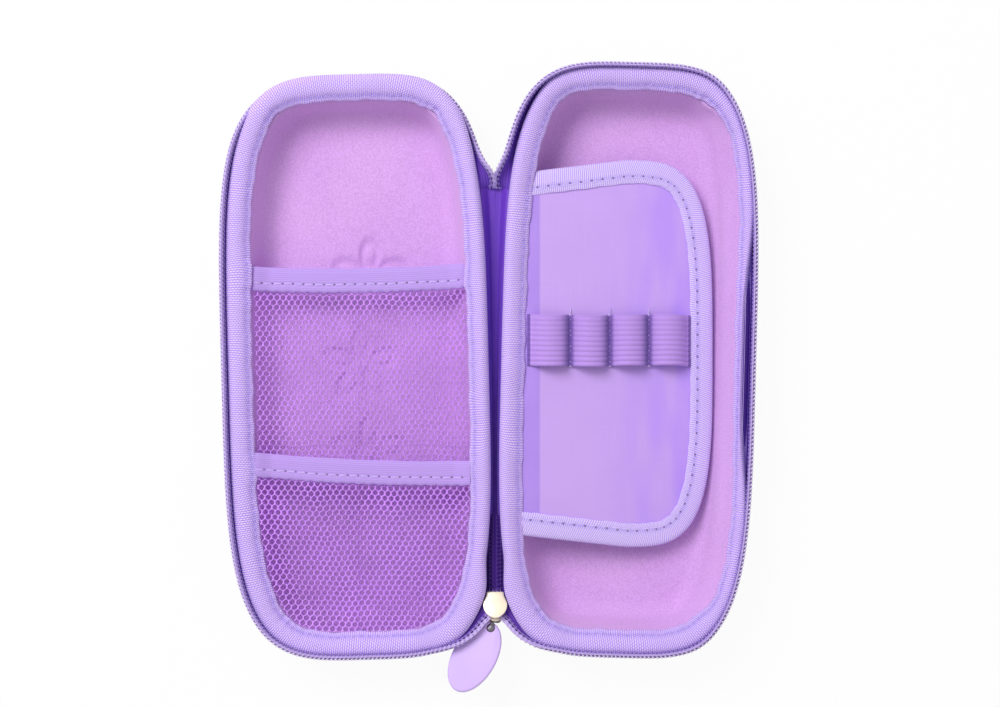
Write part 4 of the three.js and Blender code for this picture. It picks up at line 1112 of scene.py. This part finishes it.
def hingePiece(rim):
    ends = zipLook["stripBottom"] - hinge["tuck"], zipLook["stripTop"] + hinge["tuck"]
    y = np.linspace(*ends, hinge["stations"])
    place, _ = rimAt(rim, rimAtPlace(rim, y))
    gap = -place[:, 0]
    sewn = gap + zipLook["slot"]
    deep = hinge["full"] * np.sqrt(np.maximum(zipLook["reach"] ** 2 - gap**2, 0))
    t = np.linspace(0, 1, hinge["steps"])
    x = np.column_stack([sewn, sewn, np.outer(gap - hinge["middleGap"], 1 - t)])
    fall = np.column_stack([0 * y, 0 * y, np.outer(deep, smooth(0.02, 0.62, t))])
    start = seamLevel + np.array(hinge["rise"])[[0, 1] + [2] * len(t)]
    z = start - fall + hinge["pleat"] * ripple(x * 1.9, 0.4) * smooth(2, 5, fall)
    top = np.dstack([-rim["side"] * x, np.broadcast_to(y[:, None], x.shape), z])
    low = top.copy()
    low[:, :2, 0] += rim["side"] * hinge["thickness"]
    low[:, 2:, 2] -= hinge["thickness"]
    loop = np.concatenate([top, low[:, ::-1]], 1)
    across = np.arange(top.shape[1]) * hinge["clothPitch"]
    piece = makePiece(
        f"hinge_cloth_{rim['name']}", gridPart(loop, y, thereAndBack(across), closedRound=True, capped=True),
        stripMaterial, None, ["hinge_strip"], 60,
    )
    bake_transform(piece)


hingePiece(front)
hingePiece(back)
print("hinge strip made")

# Net pockets: a knitted net of rounded meshes, stretched from wall to wall under an elastic hem
net = {
    "pitch": 2.45, "row": 1.93, "hole": (0.9, 1.16), "holePower": 1.6, "thread": 0.2, "warp": 0.5,
    "edgeRise": 2.2, "wallGap": 0.12, "waves": 0.35, "fold": -31.6, "lowest": -104, "underHem": 2.5,
    "wallGive": (1.5, 26),
}


def trayEdge(hem):
    inward = shape["liningInner"] + (depth - hem["level"]) * draft + net["wallGap"]
    return rimRows(front, roundRim(front, 720), [inward], [hem["level"]])[:, 0, :2]


def edgeCrossings(edge, y):
    nexts = np.roll(edge, -1, 0)
    crossing = (np.minimum(edge, nexts)[:, 1] <= y) & (y < np.maximum(edge, nexts)[:, 1])
    here, there = edge[crossing], nexts[crossing]
    x = here[:, 0] + (y - here[:, 1]) / (there[:, 1] - here[:, 1]) * (there[:, 0] - here[:, 0])
    return x.min(), x.max()


def hemLine(hem, x, edge):
    share = (x - edge[:, 0].min()) / np.ptp(edge[:, 0])
    return hem["place"] - hem["fall"] * share - 4 * hem["sag"] * share * (1 - share)


# how far from the tray's middle a place is, how far the wall is in that direction, and the middle
def wallReach(edge, x, y):
    middle = edge.mean(0)
    dx, dy = (edge - middle).T
    angle = np.arctan2(dy, dx)
    order = np.argsort(angle)
    here = np.arctan2(y - middle[1], x - middle[0])
    most = np.interp(here, angle[order], np.hypot(dx, dy)[order], period=2 * np.pi)
    return np.hypot(x - middle[0], y - middle[1]), most, middle


def pocketHeight(level, edge, x, y):
    reach, most, _ = wallReach(edge, x, y)
    near = smooth(9, 0.5, most - reach)
    loose = net["waves"] * (ripple(x / 7.5 + y / 15, 0.9) + ripple(y / 9 - x / 21, 2.6))
    return level + net["edgeRise"] * near + loose * (1 - near)


# a mesh's hexagon, and the rounded hole in it
def netOutlines():
    p, r = net["pitch"], net["row"]
    far, near = r / 2 + p * p / (8 * r), r / 2 - p * p / (8 * r)
    left = [
        (0, far), (-p / 4, (far + near) / 2), (-p / 2, near),
        (-p / 2, 0), (-p / 2, -near), (-p / 4, -(far + near) / 2),
    ]
    corners = np.vstack([left, np.negative(left)])
    share = np.abs(corners / net["hole"]) ** net["holePower"]
    return corners, corners / share.sum(-1, keepdims=True) ** (1 / net["holePower"])


def netSpots(hem, edge):
    p, r = net["pitch"], net["row"]
    rows = range(int((net["lowest"] - 2) / r), int((hem["place"] + 6) / r) + 1)
    columns = range(int(edge[:, 0].min() / p) - 1, int(edge[:, 0].max() / p) + 2)
    spots = np.array([(i * p + (j % 2) * p / 2, j * r) for j in rows for i in columns])
    x, y = spots.T
    reach, most, _ = wallReach(edge, x, y)
    inHem = y < hemLine(hem, x, edge) - hemWidth / 2 + net["underHem"]
    return spots[(reach < most + 0.6) & inHem & (y > net["lowest"])]


def netPart(spots, hem, edge):
    corners, hole = netOutlines()
    count = len(corners)
    flat = spots[:, None] + np.vstack([corners, hole])
    x, y = flat[..., 0], flat[..., 1]
    sideways = ripple(y / 6.5, 1.7) + ripple(x / 11 + y / 8, 0.2)
    warped = flat + net["warp"] * np.stack([sideways, ripple(x / 5.5 + y / 17, 2.2)], -1)
    reach, most, middle = wallReach(edge, warped[..., 0], warped[..., 1])
    share = np.minimum(1, (most - 0.05) / np.maximum(reach, 1e-6))  # no further than the wall
    warped = middle + (warped - middle) * share[..., None]
    place = np.dstack([warped, pocketHeight(hem["level"], edge, warped[..., 0], warped[..., 1])])
    outer, inner = place[:, :count], place[:, count:]
    points = np.concatenate([outer + (0, 0, net["thread"]), outer - (0, 0, net["thread"]), inner], 1)
    k = np.arange(count)
    n = (k + 1) % count
    over = np.stack([k, n, 2 * count + n, 2 * count + k], -1)
    under = np.stack([count + n, count + k, 2 * count + k, 2 * count + n], -1)
    faces = np.arange(len(spots))[:, None, None] * 3 * count + np.concatenate([over, under])
    faces, points = faces.reshape(-1, 4), points.reshape(-1, 3)
    return points, faces.tolist(), points[faces.ravel(), :2]


def mergeClose(piece, distance):
    mesh = bmesh.new()
    mesh.from_mesh(piece.data)
    bmesh.ops.remove_doubles(mesh, verts=mesh.verts, dist=distance / 1000)
    mesh.to_mesh(piece.data)
    mesh.free()
    piece.data.shade_smooth()


def netPiece(name, spots, hem, edge, node, body=None):
    part = netPart(spots, hem, edge)
    piece = makePiece(name, part, netMaterial, body, [node], solid=False)
    mergeClose(piece, 0.02)
    return piece


# a piece is baked where it stands; where a lift would start and end at its wall is worked out but not used
def liftWith(piece, edge, side):
    wall, inwards = (edge[:, 0].min(), 1) if side == "left" else (edge[:, 0].max(), -1)
    start, end = [toMetres([wall + inwards * give, 0, 17]) for give in net["wallGive"]]
    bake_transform(piece)


# the upper net's part behind the lower pocket stays down, and each pocket's own net is in two halves
def netPieces():
    middle = trayEdge(upperHem)[:, 0].mean()
    for pocket, hem, lowest in (("upper", upperHem, net["fold"]), ("lower", lowerHem, net["lowest"])):
        edge = trayEdge(hem)
        spots = netSpots(hem, edge)
        x, y = spots.T
        if pocket == "upper":
            netPiece("upper_net_base", spots[y < lowest], hem, edge, "upper_pocket_net_base", "front")
        for side, mine in (("left", x < middle), ("right", x >= middle)):
            half = spots[mine & (y >= lowest)]
            piece = netPiece(f"{pocket}_net_{side}", half, hem, edge, f"{pocket}_pocket_net")
            liftWith(piece, edge, side)


# Elastic hems: a folded band, puckered by its stitches
hemLook = {
    "thickness": 1.0, "steps": 150, "across": 22, "endRise": 2.0, "rest": 0.6, "pucker": 0.16,
    "stitchPitch": 4.0, "stitchShare": 0.34, "firstStitch": 1.5,
    "groove": 0.3, "tuck": 0.22, "tuckShare": 0.38,
}


def hemPieces(hem, name, pocket):
    edge = trayEdge(hem)
    t = np.linspace(0, 1, hemLook["steps"])[:, None]
    w = np.linspace(-hemWidth / 2, hemWidth / 2, hemLook["across"])
    left = np.array([edgeCrossings(edge, hem["place"] + k)[0] for k in w])
    right = np.array([edgeCrossings(edge, hem["place"] - hem["fall"] + k)[1] for k in w])
    x = left + (right - left) * t
    run = x - x.min()
    wave = np.cos((run - hemLook["firstStitch"]) * 2 * np.pi / hemLook["stitchPitch"])
    pucker = hemLook["pucker"] * smooth(-1.5, -hemWidth / 2, w) * wave
    y = hemLine(hem, x, edge) + w + pucker + 0.12 * ripple(run / 4, 1.1) * np.sign(w)
    line = hemWidth * (hemLook["stitchShare"] - 0.5)
    near = smooth(7, 0, np.minimum(x - left.min(), right.max() - x))
    base = hem["level"] + hemLook["rest"] + hemLook["endRise"] * near + 0.25
    crown = hemLook["thickness"] * (1 - np.abs(w / (hemWidth / 2)) ** 6) ** 0.5
    groove = hemLook["groove"] * hill(w, line, 0.55) * (0.7 - 0.3 * wave)
    tuck = hemLook["tuck"] * hill(w, hemLook["tuckShare"] * hemWidth, 0.3)
    top = np.dstack([x, y, base + 0.75 * crown - groove - tuck + 0.1 * ripple(run / 5, 2.2)])
    under = np.dstack([x, y, base - 0.25 * crown])
    rows = np.concatenate([top, under[:, ::-1]], 1)
    cloth = thereAndBack(w - w[0])
    track = top[:, int(np.argmin(np.abs(w - line)))]
    spots = np.arange(track[0, 0] + hemLook["firstStitch"], track[-1, 0] - 1, hemLook["stitchPitch"])
    thread = readBetween(spots, track[:, 0], track)
    along = readBetween(spots, track[:, 0], np.gradient(track, axis=0))
    half = hemLook["steps"] // 2
    onLeft = spots < track[half, 0]
    for side, part, mine in (("left", slice(0, half + 1), onLeft), ("right", slice(half, None), ~onLeft)):
        cord = gridPart(rows[part], run[part, 0], cloth, closedRound=True, capped=True)
        up = np.tile([0, 0, 1.0], (mine.sum(), 1))
        sewn = stitchParts(thread[mine], along[mine], up, 3.1, 0.22, 0.1)
        pieces = [
            makePiece(f"{name}_{side}", cord, hemMaterial, None, [f"{pocket}_hem"], 50),
            makePiece(f"{name}_stitches_{side}", sewn, hemThread),
        ]
        for piece in pieces:
            liftWith(piece, edge, side)


netPieces()
hemPieces(upperHem, "upper_hem", "upper_pocket")
hemPieces(lowerHem, "lower_hem", "lower_pocket")
print("net pockets made")

# The pen page, laid out flat from its hinge line and then tilted into the back half
pageLook = {
    "hinge": (10, 19.6), "width": 75.4, "drop": 11.275, "top": 78.2, "bottom": -71, "shoulder": 41.6,
    "leftTop": 72.6, "leftBottom": -65.8, "power": 3.6, "half": 1.1, "board": 0.7, "bandWidth": 8.6,
    "bandThickness": 0.7, "bandFold": 0.55, "stitchAt": 5.8, "stitchPitch": 4.3, "gatherPitch": 3.9,
    "puff": 0.55, "wave": 0.16, "pucker": 0.24, "rootUnder": 1.6, "satinInset": 3.6,
}
pageTilt = math.asin(pageLook["drop"] / pageLook["width"])
pageMiddle = (pageLook["top"] + pageLook["bottom"]) / 2


def onPage(points):
    points = np.asarray(points, float)
    u, v, w = points[..., 0], points[..., 1], points[..., 2]
    x = pageLook["hinge"][0] + u * math.cos(pageTilt) + w * math.sin(pageTilt)
    z = pageLook["hinge"][1] - u * math.sin(pageTilt) + w * math.cos(pageTilt)
    return np.stack([x, v, z], -1)


pageUp = onPage([0, 0, 1]) - onPage([0, 0, 0])


# the page's three outer sides, from its top left to its bottom left
def pageEdge(inset):
    t = np.linspace(math.pi / 2, -math.pi / 2, 400)
    reach = squareReach(t, pageLook["power"])
    x = pageLook["shoulder"] + (pageLook["width"] - pageLook["shoulder"]) * reach * np.cos(t)
    y = pageMiddle + (pageLook["top"] - pageLook["bottom"]) / 2 * reach * np.sin(t)
    upper = [(-1.0, pageLook["leftTop"] - 0.14), (0, pageLook["leftTop"])]
    lower = [(0, pageLook["leftBottom"]), (-1.0, pageLook["leftBottom"] + 0.12)]
    edge = np.vstack([upper, np.stack([x, y], -1), lower])
    step = lengthAlong(edge)
    even = np.linspace(0, step[-1], 380)
    edge = evened(readBetween(even, step, edge), 6)
    inward = -turnedLeft(unit(np.gradient(edge, axis=0)))
    return edge + inward * inset, even, inward


# takes the hard bends out of a line
def evened(line, rounds):
    for _ in range(rounds):
        line[1:-1] = (line[:-2] + 2 * line[1:-1] + line[2:]) / 4
    return line


# one face of the page, puffed over its board: face is 1 for the front and -1 for the back
def pageCloth(name, node, face):
    root = -pageLook["rootUnder"]
    edge = pageEdge(pageLook["satinInset"])[0]
    edge = edge[edge[:, 0] > root]
    left = np.linspace(edge[-1, 1], edge[0, 1], 92)[1:-1]
    flat = np.vstack([edge, np.column_stack([np.full(len(left), root), left])])
    ring = np.column_stack([flat, np.zeros(len(flat))])
    rings = np.concatenate([ring[None], towards(ring, (pageLook["width"] * 0.46, pageMiddle, 0), 34)])
    x, y = rings[..., 0], rings[..., 1]
    share = np.linspace(0, 1, len(rings))[:, None]
    pucker = pageLook["pucker"] * ripple(y / 2.6 + x / 7, 1.4) * smooth(0.45, 0.02, share)
    puff = pageLook["puff"] * (0.55 + 0.45 * ripple(x / 13 + y / 24, 0.6))
    puff += pageLook["wave"] * ripple(y / 9 - x / 16, 2.2)
    outer, inner = rings.copy(), rings.copy()
    outer[..., 2] = face * (pageLook["half"] + puff * smooth(0, 0.22, share) + pucker)
    inner[..., 2] = face * (pageLook["board"] + 0.02)
    points, faces, _ = ringPart(np.concatenate([inner[::-1], outer]))
    cloth = points[np.array([corner for loop in faces for corner in loop]), :2]
    part = onPage(points), faces, cloth
    piece = makePiece(name, part, satinMaterial, None, [node], 60)
    x, y = flat.T
    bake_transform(piece)


pageCloth("page_front_satin", "page_front_fabric", 1)
pageCloth("page_back_satin", "page_back_fabric", -1)
board = frame["nodes"]["page_board"]
board.data.materials.clear()
board.data.materials.append(boardMaterial)


# the page's binding, folded round its three outer sides, and its stitches on both faces
def pageBand():
    outer = pageLook["half"] + pageLook["bandThickness"]
    width = pageLook["bandWidth"]
    upper = [
        (width, outer - 0.25), (width - 0.5, outer), (6.4, outer + 0.02),
        (4.4, outer + 0.05), (2.6, outer - 0.02), (1.2, outer - 0.12),
    ]
    turns = np.linspace(math.pi / 2, -math.pi / 2, 9)[1:-1]
    bend = np.stack([0.25 - 0.95 * np.cos(turns), (outer - 0.3) * np.sin(turns)], -1)
    line = np.vstack([upper, bend, np.array(upper)[::-1] * (1, -1)])
    inner = line + turnedLeft(unit(np.gradient(line, axis=0))) * pageLook["bandFold"]
    loop = np.vstack([line, inner[::-1]])
    base, even, sideways = pageEdge(0)
    corner = smooth(0.03, 0.3, cornering(sideways))
    wave = ripple(even * 2 * np.pi / pageLook["gatherPitch"], 1.1) * (0.25 + 1.5 * corner)
    free = smooth(3.5, width, loop[:, 0])
    dip = hill(loop[:, 0], pageLook["stitchAt"], 0.6)
    inset = loop[:, 0] + np.outer((0.2 + 0.25 * corner) * ripple(even / 1.5, 3.3), free)
    level = loop[:, 1] + np.sign(loop[:, 1]) * (np.outer(0.16 * wave, free) - 0.25 * dip)
    rows = onPage(np.dstack([base[:, None] + sideways[:, None] * inset[..., None], level]))
    cloth = np.append(loop[:, 0], loop[0, 0])
    makePiece(
        "page_binding_band", gridPart(rows, even, cloth, closedRound=True, capped=True), pageBindingMaterial,
        "page", ["page_binding"], 60,
    )
    spots = np.linspace(3, even[-1] - 3, int(even[-1] / pageLook["stitchPitch"]))
    threads = []
    for face in (1, -1):
        otherFace = np.sign(line[:, 1]) != face
        track = rows[:, int(np.argmin(np.abs(line[:, 0] - pageLook["stitchAt"]) + 9 * otherFace))]
        middle = readBetween(spots, even, track)
        along = readBetween(spots, even, np.gradient(track, axis=0))
        threads += stitchParts(middle, along, np.tile(pageUp * face, (len(spots), 1)), 3.3, 0.17, 0.06)
    makePiece("page_binding_stitches", threads, threadMaterial, "page", ())


pageBand()
print("page made")

# Pen loops: one elastic band, ribbed lengthwise and sewn down between its loops
loops = {
    "width": 20, "middle": 8.6, "thickness": 0.9, "rise": 6.4, "flat": 2.3, "start": 3.4, "pitch": 15.5,
    "count": 4, "ribs": 10, "ribDepth": 0.16, "steps": 22, "across": 72, "lean": 0.035, "skew": 0.35,
    "stitch": 0.85, "zig": 0.55, "thread": 0.21, "threadLift": 0.34,
}


# the band's middle line, as distances out from the page's hinge line and heights over the page
def loopLine():
    base = pageLook["half"] + loops["thickness"] / 2 + 0.12
    t = np.linspace(0, math.pi, loops["steps"])
    starts = loops["start"] + loops["flat"] / 2 + loops["pitch"] * np.arange(loops["count"])[:, None]
    u = starts + (loops["pitch"] - loops["flat"]) * ((1 - np.cos(t)) / 2 + loops["lean"] * np.sin(2 * t))
    w = base + (loops["rise"] - loops["thickness"]) * np.sin(t) ** 0.8
    bows = np.dstack([u, np.broadcast_to(w, u.shape)]).reshape(-1, 2)
    first = (loops["start"] - loops["flat"] / 2, base)
    last = (loops["start"] + loops["count"] * loops["pitch"] + loops["flat"] / 2, base)
    return evened(np.vstack([first, bows, last]), 3)


# a seam between two loops: zigzag thread, a second pass over it, and a loose end
def seamParts(u):
    v = np.arange(loops["middle"] - 10.2, loops["middle"] + 10.4, loops["stitch"])
    count = np.arange(len(v))
    fine = np.linspace(0, len(v) - 1, len(v) * 5)
    zig = np.interp(fine, count, loops["zig"] * np.where(count % 2, 1, -1))
    height = pageLook["half"] + loops["thickness"] + loops["threadLift"] + 0.1 * np.abs(np.sin(fine * np.pi))
    track = np.stack([u + zig, np.interp(fine, count, v), height], -1)
    second = track * (-1, 1, 1) + (2 * u, 0, 0.12)
    tail = [(0.2, 10.7, 2.1), (0.35, 11.6, 1.75), (0.45, 12.5, 1.55)]
    track = np.vstack([track, np.array(tail) + (u, loops["middle"], 0)])
    return [
        tubePart(onPage(track), loops["thread"], pageUp, 6),
        tubePart(onPage(second), loops["thread"] - 0.02, pageUp, 6),
    ]


def loopPieces():
    line = loopLine()
    length = lengthAlong(line)
    first, second = np.interp(loops["start"] + np.array([0, loops["pitch"]]), line[:, 0], length)
    # the elastic, with painted shade beside the seams between its loops
    loopMaterial = elasticFinish(
        "loopElastic", (0.50, 0.29, 0.80), 1.95, 0.9, 0.3,
        seamShade=(float(first), float(second - first), (0.12, 0.05, 0.34)),
    )
    normal = turnedLeft(unit(np.gradient(line, axis=0)))
    v = np.linspace(-loops["width"] / 2, loops["width"] / 2, loops["across"])
    rib = loops["ribDepth"] * np.abs(np.sin((v / loops["width"] + 0.5) * loops["ribs"] * np.pi)) ** 0.7
    edge = smooth(0, 0.5, loops["width"] / 2 - np.abs(v))
    half = (loops["thickness"] / 2 - 0.13 + rib) * (0.4 + 0.6 * edge)
    high = (line[:, 1] - line[:, 1].min()) / loops["rise"]
    skew = loops["skew"] * ripple(length / 9, 1.2)
    u, w = np.moveaxis(line[:, None] + normal[:, None] * np.append(half, -half[::-1])[:, None], -1, 0)
    across = np.outer(1 - 0.02 * high, np.append(v, v[::-1])) + skew[:, None]
    rows = np.dstack([u, loops["middle"] + across, np.maximum(w, pageLook["half"] + 0.12)])
    band = gridPart(onPage(rows), length, thereAndBack(v + loops["width"] / 2), closedRound=True, capped=True)
    makePiece("pen_loop_elastic", band, loopMaterial, "page", ["pen_loop_band"], 60)
    for n in range(1, loops["count"]):
        parts = seamParts(loops["start"] + n * loops["pitch"])
        makePiece(f"pen_loop_thread_{n}", parts, loopThread, "page", [f"pen_loop_seam_{n}"])


loopPieces()
print("pen loops made")

# Slider, link and puller, each in the frame that its joint gives
sliderLook = {
    "length": 10.4, "width": 9.2, "back": 6.6, "plate": 1.1, "throat": 3.4, "round": 0.28,
    "post": (1.4, 2.4), "postInset": 0.9, "bridgePlace": 0.9, "bridgeLength": 4.6, "bridgeWidth": 1.8,
    "bridgeOpening": 1.7, "bridgeBar": 0.9, "bridgeCorner": 0.7, "rooted": 0.3,
}
linkLook = {
    "wire": 1.0, "hole": (4.2, 2.6), "holePower": 5, "neck": 0.9, "neckWidth": 1.8, "tail": 1.5, "turn": 15,
}
pullerLook = {
    "length": 29.4, "width": 16.8, "thickness": 3.4, "round": 1.0, "tailWall": 0.7, "fit": 0.12, "steps": 128,
}


def fromJoint(name):
    joint = joints[name]
    place = np.array(joint.get("pos_m", (0, 0, 0))) * 1000 - (origin["x"], origin["y"], 0)
    return place, unit(np.array(joint["axis"], float))


linkStart, linkAxis = fromJoint("link_swing")
pullerStart, pullerAxis = fromJoint("puller_swing")
_, slideAxis = fromJoint("slider_slide")
sliderX, sliderY = np.array([1.0, 0, 0]), -slideAxis
sliderZ = np.cross(sliderX, sliderY)
bridgeLevel = -sliderLook["throat"] / 2 - sliderLook["plate"] - sliderLook["bridgeOpening"] / 2
sliderStart = linkStart + sliderY * sliderLook["bridgePlace"] - sliderZ * bridgeLevel
linkX, linkZ = -linkAxis, -pullerAxis
linkY = np.cross(linkZ, linkX)
turned = math.radians(linkLook["turn"])
pullerX = linkX * math.cos(turned) - linkY * math.sin(turned)
pullerY = np.cross(linkZ, pullerX)


# moves a part's points from a joint's frame into the case's own
def placed(part, start, x, y, z):
    points, faces, cloth = part
    return start + points @ np.stack([x, y, z]), faces, cloth


# a slider plate's outline, blunt at the chain's end, moved in by a distance
def sliderOutline(inset):
    y = np.append(np.linspace(5.2, 5.0, 3), np.linspace(4.6, -5.2, 60))
    wide = (sliderLook["back"] + (sliderLook["width"] - sliderLook["back"]) * smooth(4.4, 0.2, y)) / 2
    nose = np.clip(1 - np.abs(np.minimum(y - 0.3, 0) / 5.5) ** 2.3, 0, 1) ** 0.62
    right = np.stack([wide * nose * (1 - 0.1 * smooth(4.9, 5.2, y)), y], -1)
    outline = np.vstack([right, (right * (-1, 1))[::-1][1:]])
    return outline - turnedLeft(unit(np.roll(outline, -1, 0) - np.roll(outline, 1, 0))) * inset


# a flat plate with rounded edges, from a function that gives its outline at an inset
def platePart(outline, low, high, rounding):
    edges = [(rounding, 0), (rounding * 0.3, rounding * 0.3), (0, rounding)]
    steps = [(inset, low + rise) for inset, rise in edges]
    steps += [(inset, high - rise) for inset, rise in edges[::-1]]
    flats = [(outline(inset), z) for inset, z in steps]
    return ringPart([np.column_stack([flat, np.full(len(flat), z)]) for flat, z in flats], capped=True)


# a bar with rounded corners along a path
def roundedBar(path, wide, tall, up):
    path = np.asarray(path, float)
    side, normal = pathFrame(path, unit(np.gradient(path, axis=0)), up)
    turn = fullTurn(20)
    reach = squareReach(turn, 4) / 2
    x, y = (reach * np.cos(turn) * wide)[:, None], (reach * np.sin(turn) * tall)[:, None]
    return ringPart(path[:, None] + x * side + y * normal, capped=True)


def sliderPiece():
    throat, plate, rooted = sliderLook["throat"], sliderLook["plate"], sliderLook["rooted"]
    postPlace = sliderLook["postInset"] + (sliderLook["post"][1] - sliderLook["length"]) / 2
    post = [(0, postPlace, share * (throat / 2 + rooted)) for share in (-1, 0, 1)]
    low = -throat / 2 - plate + rooted
    far = bridgeLevel - (sliderLook["bridgeOpening"] + sliderLook["bridgeBar"]) / 2
    foot = -sliderLook["bridgePlace"] - (sliderLook["bridgeLength"] - sliderLook["bridgeBar"]) / 2
    corner = sliderLook["bridgeCorner"]
    bends = np.linspace(0, math.pi / 2, 6)
    first = [(0, foot, low), (0, foot, (low + far) / 2)]
    first += [(0, foot + corner * (1 - math.cos(t)), far + corner * (1 - math.sin(t))) for t in bends]
    second = [(0, -2 * sliderLook["bridgePlace"] - y, z) for _, y, z in first[::-1]]
    parts = [
        platePart(sliderOutline, throat / 2, throat / 2 + plate, sliderLook["round"]),
        platePart(sliderOutline, -throat / 2 - plate, -throat / 2, sliderLook["round"]),
        roundedBar(post, *sliderLook["post"], (0, 1, 0)),
        roundedBar(first + second, sliderLook["bridgeWidth"], sliderLook["bridgeBar"], (0, -0.6, -1)),
    ]
    parts = [placed(part, sliderStart, sliderX, sliderY, sliderZ) for part in parts]
    makePiece("slider_body", parts, sliderMaterial, "slider", ["slider"], 35)


# the link: a wire loop over the bridge, a neck, and a round tail inside the puller
def linkPiece():
    wire = linkLook["wire"]
    wide, tall = [(size + wire) / 2 for size in linkLook["hole"]]
    turn = fullTurn(48)
    reach = squareReach(turn, linkLook["holePower"])
    loop = ovalRing((0, -tall), wide * reach, tall * reach, turn, 0)
    tail = 2 * tall + wire / 2 + linkLook["neck"] + linkLook["tail"]

    def disc(inset):
        return ovalRing((0, -tail), linkLook["tail"] - inset, linkLook["tail"] - inset, turn, 0)[:, :2]

    neck = [(0, 0.1 - 2 * tall, 0), (0, -2 * tall - 0.8, 0), (0, -tail, 0)]
    parts = [
        tubePart(loop, wire / 2, (0, 0, 1), 10, True),
        roundedBar(neck, linkLook["neckWidth"] - 0.1, wire * 0.96, (0, 0, 1)),
        platePart(disc, -wire / 2, wire / 2, 0.15),
    ]
    parts = [placed(part, linkStart, linkX, linkY, linkZ) for part in parts]
    makePiece("pull_link_wire", parts, linkMaterial, "link", ["pull_link"], 35)


# rings of one outline, rounded where it meets its lower and upper faces
def moulded(outline, low, high, lowRound, highRound):
    rings = []
    for level, rounding, step in ((low, lowRound, 1), (high, highRound, -1)):
        for t in np.linspace(0, math.pi / 2, 7 if rounding else 1)[::step]:
            rings.append(outline(rounding * (1 - math.sin(t)), level + step * rounding * (1 - math.cos(t))))
    return ringPart(rings, capped=True)


# the puller: a full oval below, and above it one with a slot in which the link's tail lies
def pullerPiece():
    middle = (0, linkLook["tail"] + pullerLook["tailWall"] - pullerLook["length"] / 2)
    half, floor = pullerLook["thickness"] / 2, -linkLook["wire"] / 2 - pullerLook["fit"]
    radius, narrow = linkLook["tail"] + pullerLook["fit"], linkLook["neckWidth"] / 2 + pullerLook["fit"]
    mouth = math.asin(narrow / radius)

    def oval(inset, z, turn=fullTurn(pullerLook["steps"])):
        return ovalRing(middle, pullerLook["width"] / 2 - inset, pullerLook["length"] / 2 - inset, turn, z)

    def slotted(inset, z):
        gap = math.asin((narrow + 0.25 + inset * 0.6) / (pullerLook["width"] / 2 - inset))
        outer = oval(inset, z, np.linspace(math.pi / 2 + gap, 2.5 * math.pi - gap, pullerLook["steps"]))
        bend = np.linspace(math.pi / 2 - mouth, -1.5 * math.pi + mouth, 40)
        return np.vstack([outer, ovalRing((0, 0), radius + inset * 0.3, radius + inset * 0.3, bend, z)])

    edge = pullerLook["round"]
    parts = [moulded(oval, -half, floor, edge, 0), moulded(slotted, floor, half, 0, edge * 0.8)]
    parts = [placed(part, pullerStart, pullerX, pullerY, linkZ) for part in parts]
    makePiece("puller_oval", parts, pullerMaterial, "puller", ["puller"], 40)


sliderPiece()
linkPiece()
pullerPiece()
print("slider, link and puller made")

# Floor, lamps and world
light = {
    "floor": (0.9, 0.9, 0.905), "floorHalf": 3.0, "glow": 0.94, "world": 0.46, "target": (0, 0, 0.01),
    "key": 12.2, "keySize": 0.62, "keyAt": (-0.54, 0.6, 1.0),
    "fill": 1.0, "fillSize": 0.9, "fillAt": (0.8, -0.5, 0.8),
}


def mixShaders(share, first, second):
    node = first.tree.nodes.new("ShaderNodeMixShader")
    for socket, value in zip(node.inputs, (share, first, second)):
        feed(socket, value)
    return Signal(first.tree, node.outputs[0])


# one look for the light, and a white one for what the camera sees, also in gloss and through glass
def cameraWhite(plain, white):
    path = plain.tree.nodes.new("ShaderNodeLightPath")
    kinds = ("Is Camera Ray", "Is Glossy Ray", "Is Transmission Ray")
    direct, gloss, glass = [Signal(plain.tree, path.outputs[kind]) for kind in kinds]
    return mixShaders(calc("MAXIMUM", calc("MAXIMUM", direct, gloss), glass), plain, white)


def floorPiece():
    half = light["floorHalf"]
    mesh = bpy.data.meshes.new("tableTop")
    corners = [(-half, -half, 0), (half, -half, 0), (half, half, 0), (-half, half, 0)]
    mesh.from_pydata(corners, [], [(0, 1, 2, 3)])
    floor = bpy.data.objects.new("tableTop", mesh)
    bpy.context.scene.collection.objects.link(floor)
    finish = newFinish("tableTop", light["floor"], 0.9, Specular_IOR_Level=0.1)
    tree = finish.node_tree
    plain = Signal(tree, tree.nodes["Principled BSDF"].outputs[0])
    lit = mixShaders(light["glow"], plain, newNode(tree, "Emission"))
    feed(tree.nodes["Material Output"].inputs["Surface"], cameraWhite(plain, lit))
    mesh.materials.append(finish)
    floor.location.z = -0.0002


def lamp(name, place, power, size):
    data = bpy.data.lights.new(name, "AREA")
    data.energy, data.size = power, size
    made = bpy.data.objects.new(name, data)
    made.location = place
    made.rotation_mode = "QUATERNION"
    made.rotation_quaternion = (Vector(place) - Vector(light["target"])).to_track_quat("Z", "Y")
    bpy.context.scene.collection.objects.link(made)


def lightRoom():
    world = bpy.data.worlds.new("studio")
    bpy.context.scene.world = world
    world.use_nodes = True
    tree = world.node_tree
    room = tree.nodes["Background"]
    feed(room.inputs["Color"], (1.0, 1.0, 1.0))
    feed(room.inputs["Strength"], light["world"])
    white = newNode(tree, "Background", Color=(1.0, 1.0, 1.0), Strength=1.0)
    feed(tree.nodes["World Output"].inputs["Surface"], cameraWhite(Signal(tree, room.outputs[0]), white))


floorPiece()
lamp("keyLamp", light["keyAt"], light["key"], light["keySize"])
lamp("fillLamp", light["fillAt"], light["fill"], light["fillSize"])
lightRoom()
bpy.context.scene.view_settings.view_transform = "Standard"
print("floor, lamps and world made")
